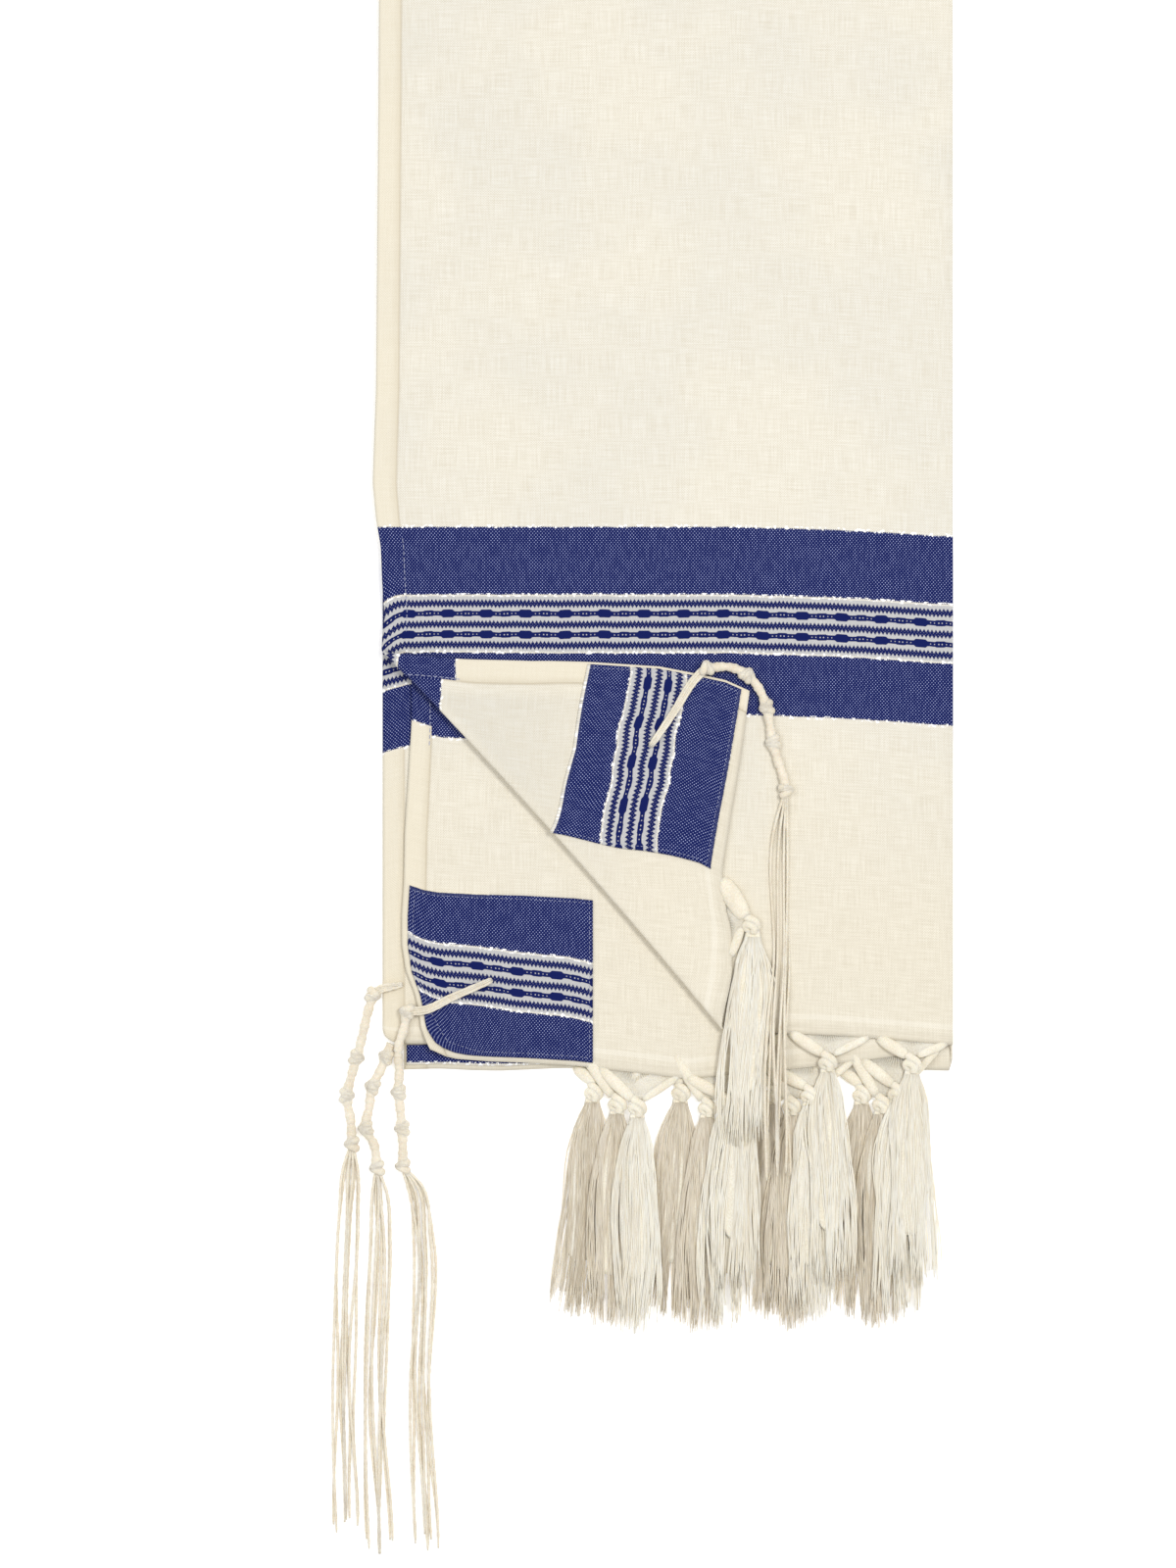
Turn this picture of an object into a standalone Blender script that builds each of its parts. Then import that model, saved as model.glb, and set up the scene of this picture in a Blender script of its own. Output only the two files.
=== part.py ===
"""Prayer shawl, folded in four and laid flat, with one corner of its top layer turned back.

The cloth is folded once along its length and once across it, so that its four corners
lie together at the lower left. From the top down the layers are: the top layer, right
side up; the inner layer, wrong side up; the third layer, right side up; and the bottom
layer, wrong side up. The top and inner layers are one wall that runs round the right
fold and over the top fold. Sizes are in millimetres until the meshes are made. +X is
to the right across the folded shawl, +Y runs up to the top fold and +Z is up.
"""
import math

import bmesh
import bpy
from mathutils import Matrix, Vector

MM = 0.001

# Plan of the folded cloth
LEFT_X = -110.5
INNER_LEFT_X = -98.4
FOLD_X = 196.0
END_Y = -132.6
LENGTH = 915.0

# Heights of the layers
WALL = 1.2
SEAM_GAP = 0.3
TOP_Z = 6.15
INNER_Z = 4.15
MIDDLE_Z = 3.375
LOWER_HEIGHT = 3.2
CORNER_CUT = 4.0
EDGE_SAG = 0.9
EDGE_SAG_WIDTH = 18.0
THIRD_CORNER = (-110.5, -139.5)
BOTTOM_CORNER = (-99.0, -153.5)
HEM_WIDTH = 11.8
HEM_EXTRA = 0.5

# Turned corner: where its fold meets the left edge and the end of the cloth
CORNER_FOLD_V = 209.0
CORNER_FOLD_U = 187.0
CORNER_FOLD_RADIUS = 2.6
CORNER_FOLD_BEND = math.pi * CORNER_FOLD_RADIUS
CORNER_FOLD_BOW = 3.0
CORNER_SETTLE = 24.0
CORNER_SLIDE = 60.0
CORNER_REST = WALL + 0.45
FOLD_FADE = 15.0
BOW_FADE = 60.0

# Corner patches: the inner one is square to the cloth, the turned one was pulled askew
PATCH_THICK = 0.9
PATCH_ALONG = 88.0
PATCH_INNER_SPAN = (4.0, 101.0)
PATCH_INNER_LOW = 2.0
PATCH_TURNED_LOW = 6.0
PATCH_TURNED = (
    # u, v of its corners
    (1.2, PATCH_TURNED_LOW), (98.0, PATCH_TURNED_LOW), (87.5, 104.6), (45.0, 92.5), (1.2, 89.6),
)

# Tassels and corner fringes
TASSEL_LENGTH = 116.0
STRAND_TAPER = 0.6
STRAND_UNEVEN = 5.0
BUNDLE_CELLS = (4, 2)
CORD_HALF = 2.25
CORD_RISE = 2.0
KNOT_HALF = 3.6
KNOT_RISE = 2.2
KNOT_REACH = 2.6
WEB_HALF = 0.4
FLOOR_CORD = 2.55

BEND_RADIUS = (TOP_Z - INNER_Z) / 2
BEND_X = FOLD_X - BEND_RADIUS - WALL / 2
BEND_START = BEND_X - LEFT_X
BEND_END = BEND_START + math.pi * BEND_RADIUS
ACROSS = BEND_END + BEND_X - INNER_LEFT_X
NOSE_RADIUS = TOP_Z - MIDDLE_Z
TOP_Y = END_Y + LENGTH

# Left edge of the top layer: v is the distance up from the end, shift is to the right
TOP_EDGE = (
    # v, shift
    (208, 0.6), (225, 1.5), (243, 0.0), (260, -0.8), (275, -3.3), (294, -5.1), (321, -4.2),
    (345, -3.3), (500, -2.0), (915, 0.0),
)
# Left edge of the inner layer
INNER_EDGE = (
    # v, shift
    (0, 13.7), (6, 10.8), (12, 8.6), (20, 7.7), (30, 5.4), (42, 0.6), (56, -1.6), (72, -1.6),
    (88, -0.5), (115, 0.0), (145, 2.0), (175, 3.7), (345, 2.0), (915, 0.0),
)
# End line of the cloth round the right fold: u is the distance in from the left edge
END_LINE = (
    # u, shift up
    (0, 0.0), (190, 0.0), (250, -2.6), (306, -7.4), (344, -14.7), (396, -21.0), (449, -25.7),
    (499, -19.9), (510, -18.6), (537, -17.0), (561, -16.3), (583, -15.0), (590, -13.6), (600, -9.9),
)
# Edges of the turned corner: how far they lie from a straight mirrored edge
FLAP_HEM = (
    # v, shift right, shift up
    (0, -4.5, 2.1), (14, -3.4, 6.3), (30, -3.2, 8.0), (50, -2.9, 9.6), (90, -2.1, 7.7), (120, -2.2, 5.1),
    (155, -6.0, 4.2), (190, -9.0, 6.0),
)
FLAP_END = (
    # u, shift right, shift up
    (0, 0.0, 0.0), (40, -1.2, 0.2), (70, -2.8, 0.8), (98, -4.0, 0.2), (120, -0.1, 1.6), (145, 10.9, 6.7),
    (165, 27.9, 10.4), (187, 41.9, 10.4),
)
EDGE_FADE = 60.0
NOSE_FADE = 40.0

# Lines of the flat net: across from either side edge, and up from the end
HEM_STEP = 1.0
PATCH_CUT_END = 140.0
COLUMNS_TOP = (0, 1.2, HEM_WIDTH - HEM_STEP, HEM_WIDTH, 45, 70, 98, PATCH_CUT_END, 190, 250)
COLUMNS_INNER = (250, 190, 150, PATCH_INNER_SPAN[1], 70, 40, HEM_WIDTH, HEM_WIDTH - HEM_STEP,
                 PATCH_INNER_SPAN[0], 0)
ROWS = (0, PATCH_INNER_LOW, PATCH_TURNED_LOW, 12, 20, 30, 42, 56, 72, PATCH_ALONG, 115, 145, 175, 208,
        225, 243, 260, 275, 294, 321, 345, 500, 700)
BEND_STEPS = 4
NOSE_STEPS = 4
FOLD_STEPS = 5


def table(rows, at, column=1):
    """Value of one column of a short table, in straight runs between its rows."""
    if at <= rows[0][0]:
        return rows[0][column]
    for low, high in zip(rows, rows[1:]):
        if at <= high[0]:
            return low[column] + (high[column] - low[column]) * (at - low[0]) / (high[0] - low[0])
    return rows[-1][column]


def smooth(t):
    """Soft step from 0 to 1."""
    t = min(1.0, max(0.0, t))
    return t * t * (3 - 2 * t)


def toward_corner():
    """Direction in the flat cloth, square to the corner's fold, toward the corner."""
    return Vector((-1 / CORNER_FOLD_U, -1 / CORNER_FOLD_V)).normalized()


def past_fold(u, v):
    """How far a point of the flat cloth lies past the fold of the turned corner."""
    return toward_corner().dot(Vector((u - CORNER_FOLD_U, v)))


def fold_bow(u, v):
    """How far the corner's fold bows away from the corner, along its length."""
    run = Vector((-CORNER_FOLD_U, CORNER_FOLD_V))
    share = Vector((u - CORNER_FOLD_U, v)).dot(run) / run.length_squared
    share = min(1.0, max(0.0, share))
    return 4 * CORNER_FOLD_BOW * share * (1 - share)


def turn_corner(u, v, past):
    """Plan place and height of a point of the top layer that lies past the corner's fold."""
    toward = toward_corner()
    radius = CORNER_FOLD_RADIUS
    angle = min(math.pi, past / radius)
    over = max(0.0, past - CORNER_FOLD_BEND)
    ease = smooth(over / CORNER_SETTLE)
    slide = smooth(over / CORNER_SLIDE)
    flat = Vector((u, v)) - toward * past
    flat += toward * (radius * math.sin(angle) - over - fold_bow(u, v) * (1 - ease))
    shift = Vector((table(FLAP_HEM, v) + table(FLAP_END, u), table(FLAP_HEM, v, 2) + table(FLAP_END, u, 2)))
    height = TOP_Z + radius * (1 - math.cos(angle)) - (2 * radius - CORNER_REST) * ease
    return flat + shift * slide, height


def place(u, v):
    """Place of the middle of the wall for a point of the flat cloth.

    u runs from the top layer's left edge round the right fold to the inner layer's
    left edge; v runs from the end of the cloth over the top fold.
    """
    along = min(v, LENGTH)
    rise = table(END_LINE, u) * (1 - along / LENGTH)
    if u <= BEND_START:
        past = past_fold(u, v)
        if past > 0:
            flat, z = turn_corner(u, v, past)
            return Vector((LEFT_X + flat.x, END_Y + flat.y, z))
        near = smooth(-past / FOLD_FADE)
        pull = -toward_corner() * fold_bow(u, v) * smooth(1 + past / BOW_FADE)
        x = LEFT_X + u + table(TOP_EDGE, v) * max(0.0, 1 - u / EDGE_FADE) * near + pull.x
        z = TOP_Z - EDGE_SAG * smooth(1 - u / EDGE_SAG_WIDTH) * near * smooth((LENGTH - v) / NOSE_FADE)
        rise = rise * near + pull.y
    elif u < BEND_END:
        angle = (u - BEND_START) / BEND_RADIUS
        x = BEND_X + BEND_RADIUS * math.sin(angle)
        z = INNER_Z + BEND_RADIUS * (1 + math.cos(angle))
    else:
        inward = ACROSS - u
        x = INNER_LEFT_X + inward + table(INNER_EDGE, v) * max(0.0, 1 - inward / EDGE_FADE)
        z = INNER_Z
    y = END_Y + along + rise
    if v > LENGTH:
        angle = (v - LENGTH) / NOSE_RADIUS
        reach = z - MIDDLE_Z
        y = TOP_Y + reach * math.sin(angle)
        z = MIDDLE_Z + reach * math.cos(angle)
    return Vector((x, y, z))


def facing(u, v):
    """Direction in which the right side of the cloth faces."""
    step = 0.05
    across = place(u + step, v) - place(u - step, v)
    along = place(u, v + step) - place(u, v - step)
    return across.cross(along).normalized()


def wrong_side(u):
    """Half thickness on the wrong side, where the side hems are turned in."""
    inward = min(u, ACROSS - u)
    return WALL / 2 + (HEM_EXTRA if inward < HEM_WIDTH - HEM_STEP / 2 else 0.0)


def cut(net, start, end, low_u, high_u):
    """Cut the part of the flat net between two columns along the line through two points."""
    faces = [f for f in net.faces if low_u < f.calc_center_median().x < high_u]
    edges = {e for f in faces for e in f.edges}
    verts = {p for f in faces for p in f.verts}
    run = Vector((*end, 0)) - Vector((*start, 0))
    bmesh.ops.bisect_plane(net, geom=list(verts) + list(edges) + faces, dist=0.01,
                           plane_co=(*start, 0), plane_no=(run.y, -run.x, 0))


def flat_cloth():
    """Flat net of the top and inner layers, cut along the corner's fold and its patch's edges."""
    columns = list(COLUMNS_TOP)
    columns += [BEND_START + math.pi * BEND_RADIUS * i / BEND_STEPS for i in range(BEND_STEPS + 1)]
    columns += [ACROSS - inward for inward in COLUMNS_INNER]
    rows = list(ROWS)
    rows += [LENGTH + math.pi * NOSE_RADIUS * i / NOSE_STEPS for i in range(NOSE_STEPS + 1)]
    net = bmesh.new()
    lines = [[net.verts.new((u, v, 0)) for u in columns] for v in rows]
    for low, high in zip(lines, lines[1:]):
        for i in range(len(columns) - 1):
            net.faces.new((low[i], low[i + 1], high[i + 1], high[i]))
    steps = [CORNER_FOLD_BEND * i / FOLD_STEPS for i in range(FOLD_STEPS + 1)]
    steps += [CORNER_FOLD_BEND + CORNER_SETTLE * part for part in (0.35, 0.65, 1.0)]
    for step in steps:
        shift = toward_corner() * step
        cut(net, Vector((CORNER_FOLD_U, 0)) + shift, Vector((0, CORNER_FOLD_V)) + shift, 0, BEND_START)
    _, low_end, fold_end, bend_end, hem_end = PATCH_TURNED
    cut(net, low_end, fold_end, bend_end[0], PATCH_CUT_END)
    cut(net, fold_end, bend_end, bend_end[0], low_end[0])
    cut(net, bend_end, hem_end, 0, bend_end[0])
    bmesh.ops.dissolve_degenerate(net, dist=0.02, edges=net.edges[:])
    bmesh.ops.triangulate(net, faces=net.faces[:])
    return net


def wall(name, net, outer, inner, keep=None):
    """Closed wall over the net's faces; outer and inner give its two sides' distances
    from the middle of the cloth, positive on the right side."""
    mesh = bmesh.new()
    faces = [f for f in net.faces if keep is None or keep(f.calc_center_median())]
    points = {p for f in faces for p in f.verts}
    upper = {}
    lower = {}
    for point in sorted(points, key=lambda p: (p.co.y, p.co.x)):
        u, v = point.co.x, point.co.y
        middle = place(u, v)
        normal = facing(u, v)
        upper[point] = mesh.verts.new((middle + normal * outer(u)) * MM)
        lower[point] = mesh.verts.new((middle + normal * inner(u)) * MM)
    chosen = set(faces)
    for face in faces:
        mesh.faces.new([upper[p] for p in face.verts])
        mesh.faces.new([lower[p] for p in reversed(face.verts)])
        for loop in face.loops:
            if sum(f in chosen for f in loop.edge.link_faces) == 1:
                a = loop.vert
                b = loop.link_loop_next.vert
                mesh.faces.new((upper[b], upper[a], lower[a], lower[b]))
    return finish(name, mesh)


def finish(name, mesh):
    """Make the object of a bmesh, with its own material."""
    bmesh.ops.triangulate(mesh, faces=mesh.faces[:])
    data = bpy.data.meshes.new(name)
    mesh.to_mesh(data)
    mesh.free()
    part = bpy.data.objects.new(name, data)
    bpy.context.scene.collection.objects.link(part)
    data.materials.append(MATERIALS[name.split("_")[0]])
    return part


def material(name, colour, roughness):
    made = bpy.data.materials.new(name)
    made.use_nodes = True
    shader = made.node_tree.nodes["Principled BSDF"]
    shader.inputs["Base Color"].default_value = (*colour, 1)
    shader.inputs["Roughness"].default_value = roughness
    return made


def patch_wall(name, net, keep):
    """A patch on the wrong side, made from the cloth's points, moved out past the seam gap."""
    wall(name, net, lambda u: -wrong_side(u) - SEAM_GAP,
         lambda u: -wrong_side(u) - SEAM_GAP - PATCH_THICK, keep)


def on_turned_patch(spot):
    """Whether a point of the flat cloth is under the patch of the turned corner."""
    inside = False
    for start, end in zip(PATCH_TURNED, PATCH_TURNED[1:] + PATCH_TURNED[:1]):
        if (start[1] > spot.y) != (end[1] > spot.y):
            crossing = start[0] + (end[0] - start[0]) * (spot.y - start[1]) / (end[1] - start[1])
            inside = inside != (spot.x < crossing)
    return inside


def on_inner_patch(spot):
    """Whether a point of the flat cloth is under the patch of the inner layer."""
    low, high = PATCH_INNER_SPAN
    return low < ACROSS - spot.x < high and PATCH_INNER_LOW < spot.y < PATCH_ALONG


def cloth_and_patches():
    """The top and inner layers in one wall, and the two patches that lie on it."""
    net = flat_cloth()
    wall("cloth_upper", net, lambda u: WALL / 2, lambda u: -wrong_side(u))
    patch_wall("patch_turned", net, on_turned_patch)
    patch_wall("patch_inner", net, on_inner_patch)
    net.free()


def lower_layers():
    """The third and bottom layers as one rounded solid, layered at its open edges.

    Each ring is the outline at one height; the groove between the two layers shows at
    the left and lower edges, and the right side is the rounded fold.
    """
    groove = 20.0
    rings = (
        # height, left x, lower y, inset
        (0.0, *BOTTOM_CORNER, 0.3), (0.5, *BOTTOM_CORNER, 0.0), (1.2, *BOTTOM_CORNER, 0.1),
        (1.45, *BOTTOM_CORNER, groove), (1.75, *BOTTOM_CORNER, groove), (2.0, *THIRD_CORNER, 0.1),
        (2.7, *THIRD_CORNER, 0.0), (LOWER_HEIGHT, *THIRD_CORNER, 0.3),
    )
    half = LOWER_HEIGHT / 2
    back = TOP_Y - SEAM_GAP
    mesh = bmesh.new()
    loops = []
    for height, left, low, inset in rings:
        right = FOLD_X - half + math.sqrt(max(0.0, half ** 2 - (height - half) ** 2))
        left += inset
        low += inset
        outline = ((left, back), (left, low + CORNER_CUT), (left + CORNER_CUT, low), (right, low),
                   (right, back))
        loops.append([mesh.verts.new(Vector((x, y, height)) * MM) for x, y in outline])
    for lower, upper in zip(loops, loops[1:]):
        for i in range(len(lower)):
            j = (i + 1) % len(lower)
            mesh.faces.new((lower[i], lower[j], upper[j], upper[i]))
    mesh.faces.new(loops[-1])
    mesh.faces.new(list(reversed(loops[0])))
    return finish("cloth_lower_layers", mesh)


def bottom_patch():
    """The part of the bottom layer's patch that lies on its edge, past the third layer."""
    left, right = BOTTOM_CORNER[0] + 1.5, BOTTOM_CORNER[0] + 98.5
    low, high = BOTTOM_CORNER[1] + 2.5, THIRD_CORNER[1] - 1.0
    base = WALL + SEAM_GAP
    mesh = bmesh.new()
    bmesh.ops.create_cube(mesh, size=1)
    for point in mesh.verts:
        point.co.x = (left if point.co.x < 0 else right) * MM
        point.co.y = (low if point.co.y < 0 else high) * MM
        point.co.z = (base if point.co.z < 0 else base + PATCH_THICK) * MM
    upright = [e for e in mesh.edges if abs(e.verts[0].co.z - e.verts[1].co.z) > PATCH_THICK * MM / 2]
    bmesh.ops.bevel(mesh, geom=upright, offset=3 * MM, segments=2, affect="EDGES", profile=0.5)
    return finish("patch_bottom", mesh)


def section(cells):
    """Points of a round section divided in cells: (column, row) and their places in -1 to 1."""
    wide, high = cells
    spots = {}
    for i in range(wide + 1):
        for j in range(high + 1):
            a = 2 * i / wide - 1
            b = 2 * j / high - 1
            spots[i, j] = (a * math.sqrt(1 - b * b / 2), b * math.sqrt(1 - a * a / 2))
    rim = [(i, 0) for i in range(wide)] + [(wide, j) for j in range(high)]
    rim += [(i, high) for i in range(wide, 0, -1)] + [(0, j) for j in range(high, 0, -1)]
    return spots, rim


def sideways(path, index):
    """Level direction across a path at one of its points."""
    before = path[max(0, index - 1)]
    after = path[min(len(path) - 1, index + 1)]
    run = after - before
    return Vector((-run.y, run.x, 0)).normalized()


def bundle(name, stations, cells, strands, shrink, edge=None):
    """A head that is lofted through its stations and ends in loose strands.

    A station is (middle, half width, half height). The strands grow from the cells of
    the last station, one each, through the strand stations, and stand apart past them.
    The first station lies along the edge direction, if there is one.
    """
    spots, rim = section(cells)
    mesh = bmesh.new()
    path = [Vector(station[0]) for station in stations + strands]
    loops = []
    up = Vector((0, 0, 1))
    for index, (middle, half, rise) in enumerate(stations):
        side = sideways(path, index)
        if edge and index < 2:
            side = (edge + side * index).normalized()
        loops.append([mesh.verts.new((Vector(middle) + side * half * spots[k][0]
                                      + up * rise * spots[k][1]) * MM) for k in rim])
    for low, high in zip(loops, loops[1:]):
        for i in range(len(rim)):
            j = (i + 1) % len(rim)
            mesh.faces.new((low[i], low[j], high[j], high[i]))
    mesh.faces.new(list(reversed(loops[0])))
    root = dict(zip(rim, loops[-1]))
    middle, half, rise = stations[-1]
    side = sideways(path, len(stations) - 1)
    for key, (a, b) in spots.items():
        if key not in root:
            root[key] = mesh.verts.new((Vector(middle) + side * half * a + up * rise * b) * MM)
    wide, high = cells
    for i in range(wide):
        for j in range(high):
            keys = ((i, j), (i + 1, j), (i + 1, j + 1), (i, j + 1))
            ring = [root[k] for k in keys]
            centre_a = sum(spots[k][0] for k in keys) / 4
            centre_b = sum(spots[k][1] for k in keys) / 4
            uneven = math.sin(2.4 * i + 4.1 * j + len(name))
            for step, (spot, half, rise) in enumerate(strands):
                side = sideways(path, len(stations) + step)
                size = shrink
                spot = Vector(spot)
                if step == len(strands) - 1:
                    size = shrink * STRAND_TAPER
                    spot += (path[-1] - path[-2]).normalized() * STRAND_UNEVEN * uneven
                fresh = []
                for key in keys:
                    a = centre_a + (spots[key][0] - centre_a) * size
                    b = centre_b + (spots[key][1] - centre_b) * size
                    fresh.append(mesh.verts.new((spot + side * half * a + up * rise * b) * MM))
                for n in range(4):
                    m = (n + 1) % 4
                    mesh.faces.new((ring[n], ring[m], fresh[m], fresh[n]))
                ring = fresh
            mesh.faces.new(ring)
    bmesh.ops.recalc_face_normals(mesh, faces=mesh.faces[:])
    return finish(name, mesh)


def tassel(name, web, half_web, edge, knot, end, rise):
    """A gathered bunch of warp ends: a flat web at the cloth's edge, a knot and a skirt."""
    inward = (knot - web).normalized()
    neck = knot - inward * min(5.5, (knot - web).length * 0.6)
    outward = (end - knot).normalized()
    stations = [
        (web, half_web, WEB_HALF),
        (web.lerp(neck, 0.5), half_web * 0.45, 0.45),
        (neck, 4.2, 0.8 * rise),
        (knot - inward * 2.0, 6.3, rise),
        (knot + outward * 3.0, 6.2, rise),
        (knot + outward * 6.5, 5.0, 0.85 * rise),
    ]
    strands = [
        (knot + outward * 30, 10.0, rise),
        (end, 13.0, rise),
    ]
    return bundle(name, stations, BUNDLE_CELLS, strands, 0.78, edge)


# Tassels of each layer: the cloth's height at its end and the height at which they lie
TASSEL_LAYERS = (
    # layer, cloth z, tassel z, half height
    ("top", TOP_Z, 8.3, 1.1),
    ("inner", INNER_Z, 5.7, 1.1),
    ("third", 2.75, 3.25, 0.95),
    ("bottom", 0.85, 1.15, 0.85),
)
TASSELS = (
    # layer, number, middle of the bunch from the left edge, half bunch, knot x, knot y, end x
    ("top", 2, 204.0, 12.0, 82.0, -153.5, 79.0),
    ("top", 3, 240.0, 23.0, 128.4, -149.0, 131.0),
    ("top", 4, 284.5, 20.0, 173.6, -150.0, 173.0),
    ("inner", 1, 125.5, 23.0, 26.5, -173.6, 25.0),
    ("inner", 2, 172.5, 23.0, 73.6, -171.0, 73.0),
    ("inner", 3, 219.5, 23.0, 119.0, -167.0, 120.0),
    ("inner", 4, 266.5, 23.0, 166.0, -166.0, 165.0),
    ("third", 1, 126.0, 23.0, 15.8, -172.0, 10.0),
    ("third", 2, 174.5, 23.0, 64.2, -174.0, 60.0),
    ("third", 3, 222.5, 23.0, 109.5, -173.0, 108.0),
    ("third", 4, 270.5, 23.0, 157.8, -172.0, 156.0),
    ("bottom", 1, 113.0, 23.0, 3.0, -166.0, -7.0),
    ("bottom", 2, 160.0, 23.0, 50.0, -166.0, 44.0),
    ("bottom", 3, 207.5, 23.0, 100.0, -167.0, 96.0),
    ("bottom", 4, 255.0, 23.0, 147.5, -167.0, 145.0),
)


def edge_of_web(ends):
    """Middle of a web's edge, just off the line of ends it grows from, and its direction."""
    edge = (ends[-1] - ends[0]).normalized()
    out = Vector((edge.y, -edge.x, 0)).normalized()
    centre = (ends[0] + ends[-1]) / 2
    reach = max((spot - centre).dot(out) for spot in ends)
    return centre + out * (reach + SEAM_GAP), edge


def web_root(layer, middle, half):
    """Middle and direction of the edge of a tassel's web, at the end of its layer."""
    across = [middle + half * step / 6 for step in range(-6, 7)]
    if layer == "third":
        return edge_of_web([Vector((THIRD_CORNER[0] + u, THIRD_CORNER[1], 0)) for u in across])
    if layer == "bottom":
        return edge_of_web([Vector((BOTTOM_CORNER[0] + u, BOTTOM_CORNER[1], 0)) for u in across])
    return edge_of_web([place(u if layer == "top" else ACROSS - u, 0) for u in across])


def tassels():
    """All tassels but the one that hangs from the turned corner."""
    heights = {row[0]: row[1:] for row in TASSEL_LAYERS}
    for layer, number, middle, half, knot_x, knot_y, end_x in TASSELS:
        cloth_z, lie_z, rise = heights[layer]
        web, edge = web_root(layer, middle, half)
        web.z = cloth_z
        knot = Vector((knot_x, knot_y, lie_z))
        end = Vector((end_x, knot_y - TASSEL_LENGTH, lie_z))
        tassel(f"tassel_{layer}_{number}", web, half, edge, knot, end, rise)


# The tassel of the turned corner: its web stands off sideways, then it falls
TURNED_WEB = (146.0, 100.0)
TURNED_HEAD = (
    # x, y, z, half width, half height
    (84.0, -71.5, 8.4, 4.6, 0.9), (86.6, -74.0, 8.6, 5.6, 1.1), (88.0, -78.0, 8.8, 6.2, 1.1),
    (88.2, -82.5, 9.2, 5.0, 1.0),
)
TURNED_SKIRT = (
    # x, y, z, half width, half height
    (86.0, -112.0, 10.9, 9.0, 1.1), (82.0, -190.0, 10.9, 11.5, 1.1),
)


def turned_tassel():
    first, last = TURNED_WEB
    web, edge = edge_of_web([place(first + (last - first) * step / 12, 0) for step in range(13)])
    head = [(Vector(row[:3]), *row[3:]) for row in TURNED_HEAD]
    half_web = (first - last) / 2
    between = (web.lerp(head[0][0], 0.5), half_web * 0.45, WEB_HALF)
    skirt = [(Vector(row[:3]), *row[3:]) for row in TURNED_SKIRT]
    bundle("tassel_top_1", [(web, half_web - 1.0, WEB_HALF), between, *head], BUNDLE_CELLS, skirt, 0.78, edge)


def corner_fringe(name, route, loose, edge=None):
    """A corner fringe: a flat loop on the cloth, a wound cord with knots, loose strands."""
    places = [Vector(row[:3]) for row in route]
    stations = []
    for index, (x, y, z, kind) in enumerate(route):
        spot = places[index]
        run = (places[min(index + 1, len(places) - 1)] - places[max(index - 1, 0)]).normalized()
        if kind == "loop":
            stations.append((spot, 1.9, 0.8))
        elif kind == "cord":
            stations.append((spot, CORD_HALF, CORD_RISE))
        else:
            stations.append((spot - run * KNOT_REACH, KNOT_HALF * 0.75, KNOT_RISE * 0.8))
            stations.append((spot, KNOT_HALF, KNOT_RISE))
            stations.append((spot + run * KNOT_REACH, KNOT_HALF * 0.75, KNOT_RISE * 0.8))
    strands = [(Vector(row[:3]), row[3], 0.95) for row in loose]
    return bundle(name, stations, BUNDLE_CELLS, strands, 0.8, edge)


FRINGE_TOP = (
    # x, y, z, kind
    (33.7, 20.5, 11.3, "loop"), (46.0, 38.5, 11.3, "loop"), (58.0, 57.0, 11.4, "loop"),
    (63.4, 62.2, 11.2, "knot"), (76.8, 62.4, 9.6, "cord"), (85.2, 58.6, 9.4, "knot"),
    (92.0, 50.5, 9.4, "cord"), (95.6, 41.0, 9.4, "knot"), (97.4, 32.0, 9.4, "cord"),
    (98.9, 22.6, 9.4, "knot"), (101.5, 13.5, 9.4, "cord"), (104.7, 3.5, 9.4, "cord"),
    (106.0, -3.5, 9.4, "knot"),
)
LOOSE_TOP = (
    # x, y, z, half width
    (103.8, -22.0, 8.4, 3.9), (102.6, -100.0, 8.4, 4.2), (102.0, -125.0, 10.9, 4.4),
    (101.5, -208.0, 10.9, 5.0),
)
FRINGE_INNER = (
    # x, y, z, kind
    (-52.0, -105.2, 7.7, "loop"), (-72.0, -114.0, 7.7, "loop"), (-89.4, -121.6, 7.7, "loop"),
    (-97.2, -121.8, 6.3, "knot"), (-98.6, -130.8, 6.0, "cord"), (-101.5, -140.0, 5.8, "cord"),
    (-101.8, -147.3, 4.2, "cord"), (-101.4, -155.5, 2.9, "cord"), (-102.0, -165.7, FLOOR_CORD, "knot"),
    (-101.0, -174.7, FLOOR_CORD, "cord"), (-100.0, -185.2, FLOOR_CORD, "knot"),
    (-99.6, -194.0, FLOOR_CORD, "cord"), (-99.6, -205.5, FLOOR_CORD, "knot"),
)
LOOSE_INNER = (
    # x, y, z, half width
    (-93.5, -216.0, 1.5, 3.6), (-88.5, -245.0, 1.5, 4.4), (-90.0, -320.0, 1.5, 5.0),
    (-86.0, -408.0, 1.5, 5.0),
)
FRINGE_THIRD = (
    # x, y, z, kind
    (-105.8, -139.8, 2.6, "loop"), (-108.6, -146.4, FLOOR_CORD, "knot"),
    (-111.6, -154.0, FLOOR_CORD, "cord"), (-116.0, -162.6, FLOOR_CORD, "knot"),
    (-117.6, -174.0, FLOOR_CORD, "cord"), (-119.6, -185.0, FLOOR_CORD, "knot"),
    (-115.0, -194.0, FLOOR_CORD, "cord"), (-113.4, -206.5, FLOOR_CORD, "knot"),
)
LOOSE_THIRD = (
    # x, y, z, half width
    (-112.4, -219.0, 1.5, 3.6), (-112.0, -245.0, 1.5, 4.4), (-114.5, -320.0, 1.5, 5.0),
    (-112.0, -411.0, 1.5, 5.0),
)
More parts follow.
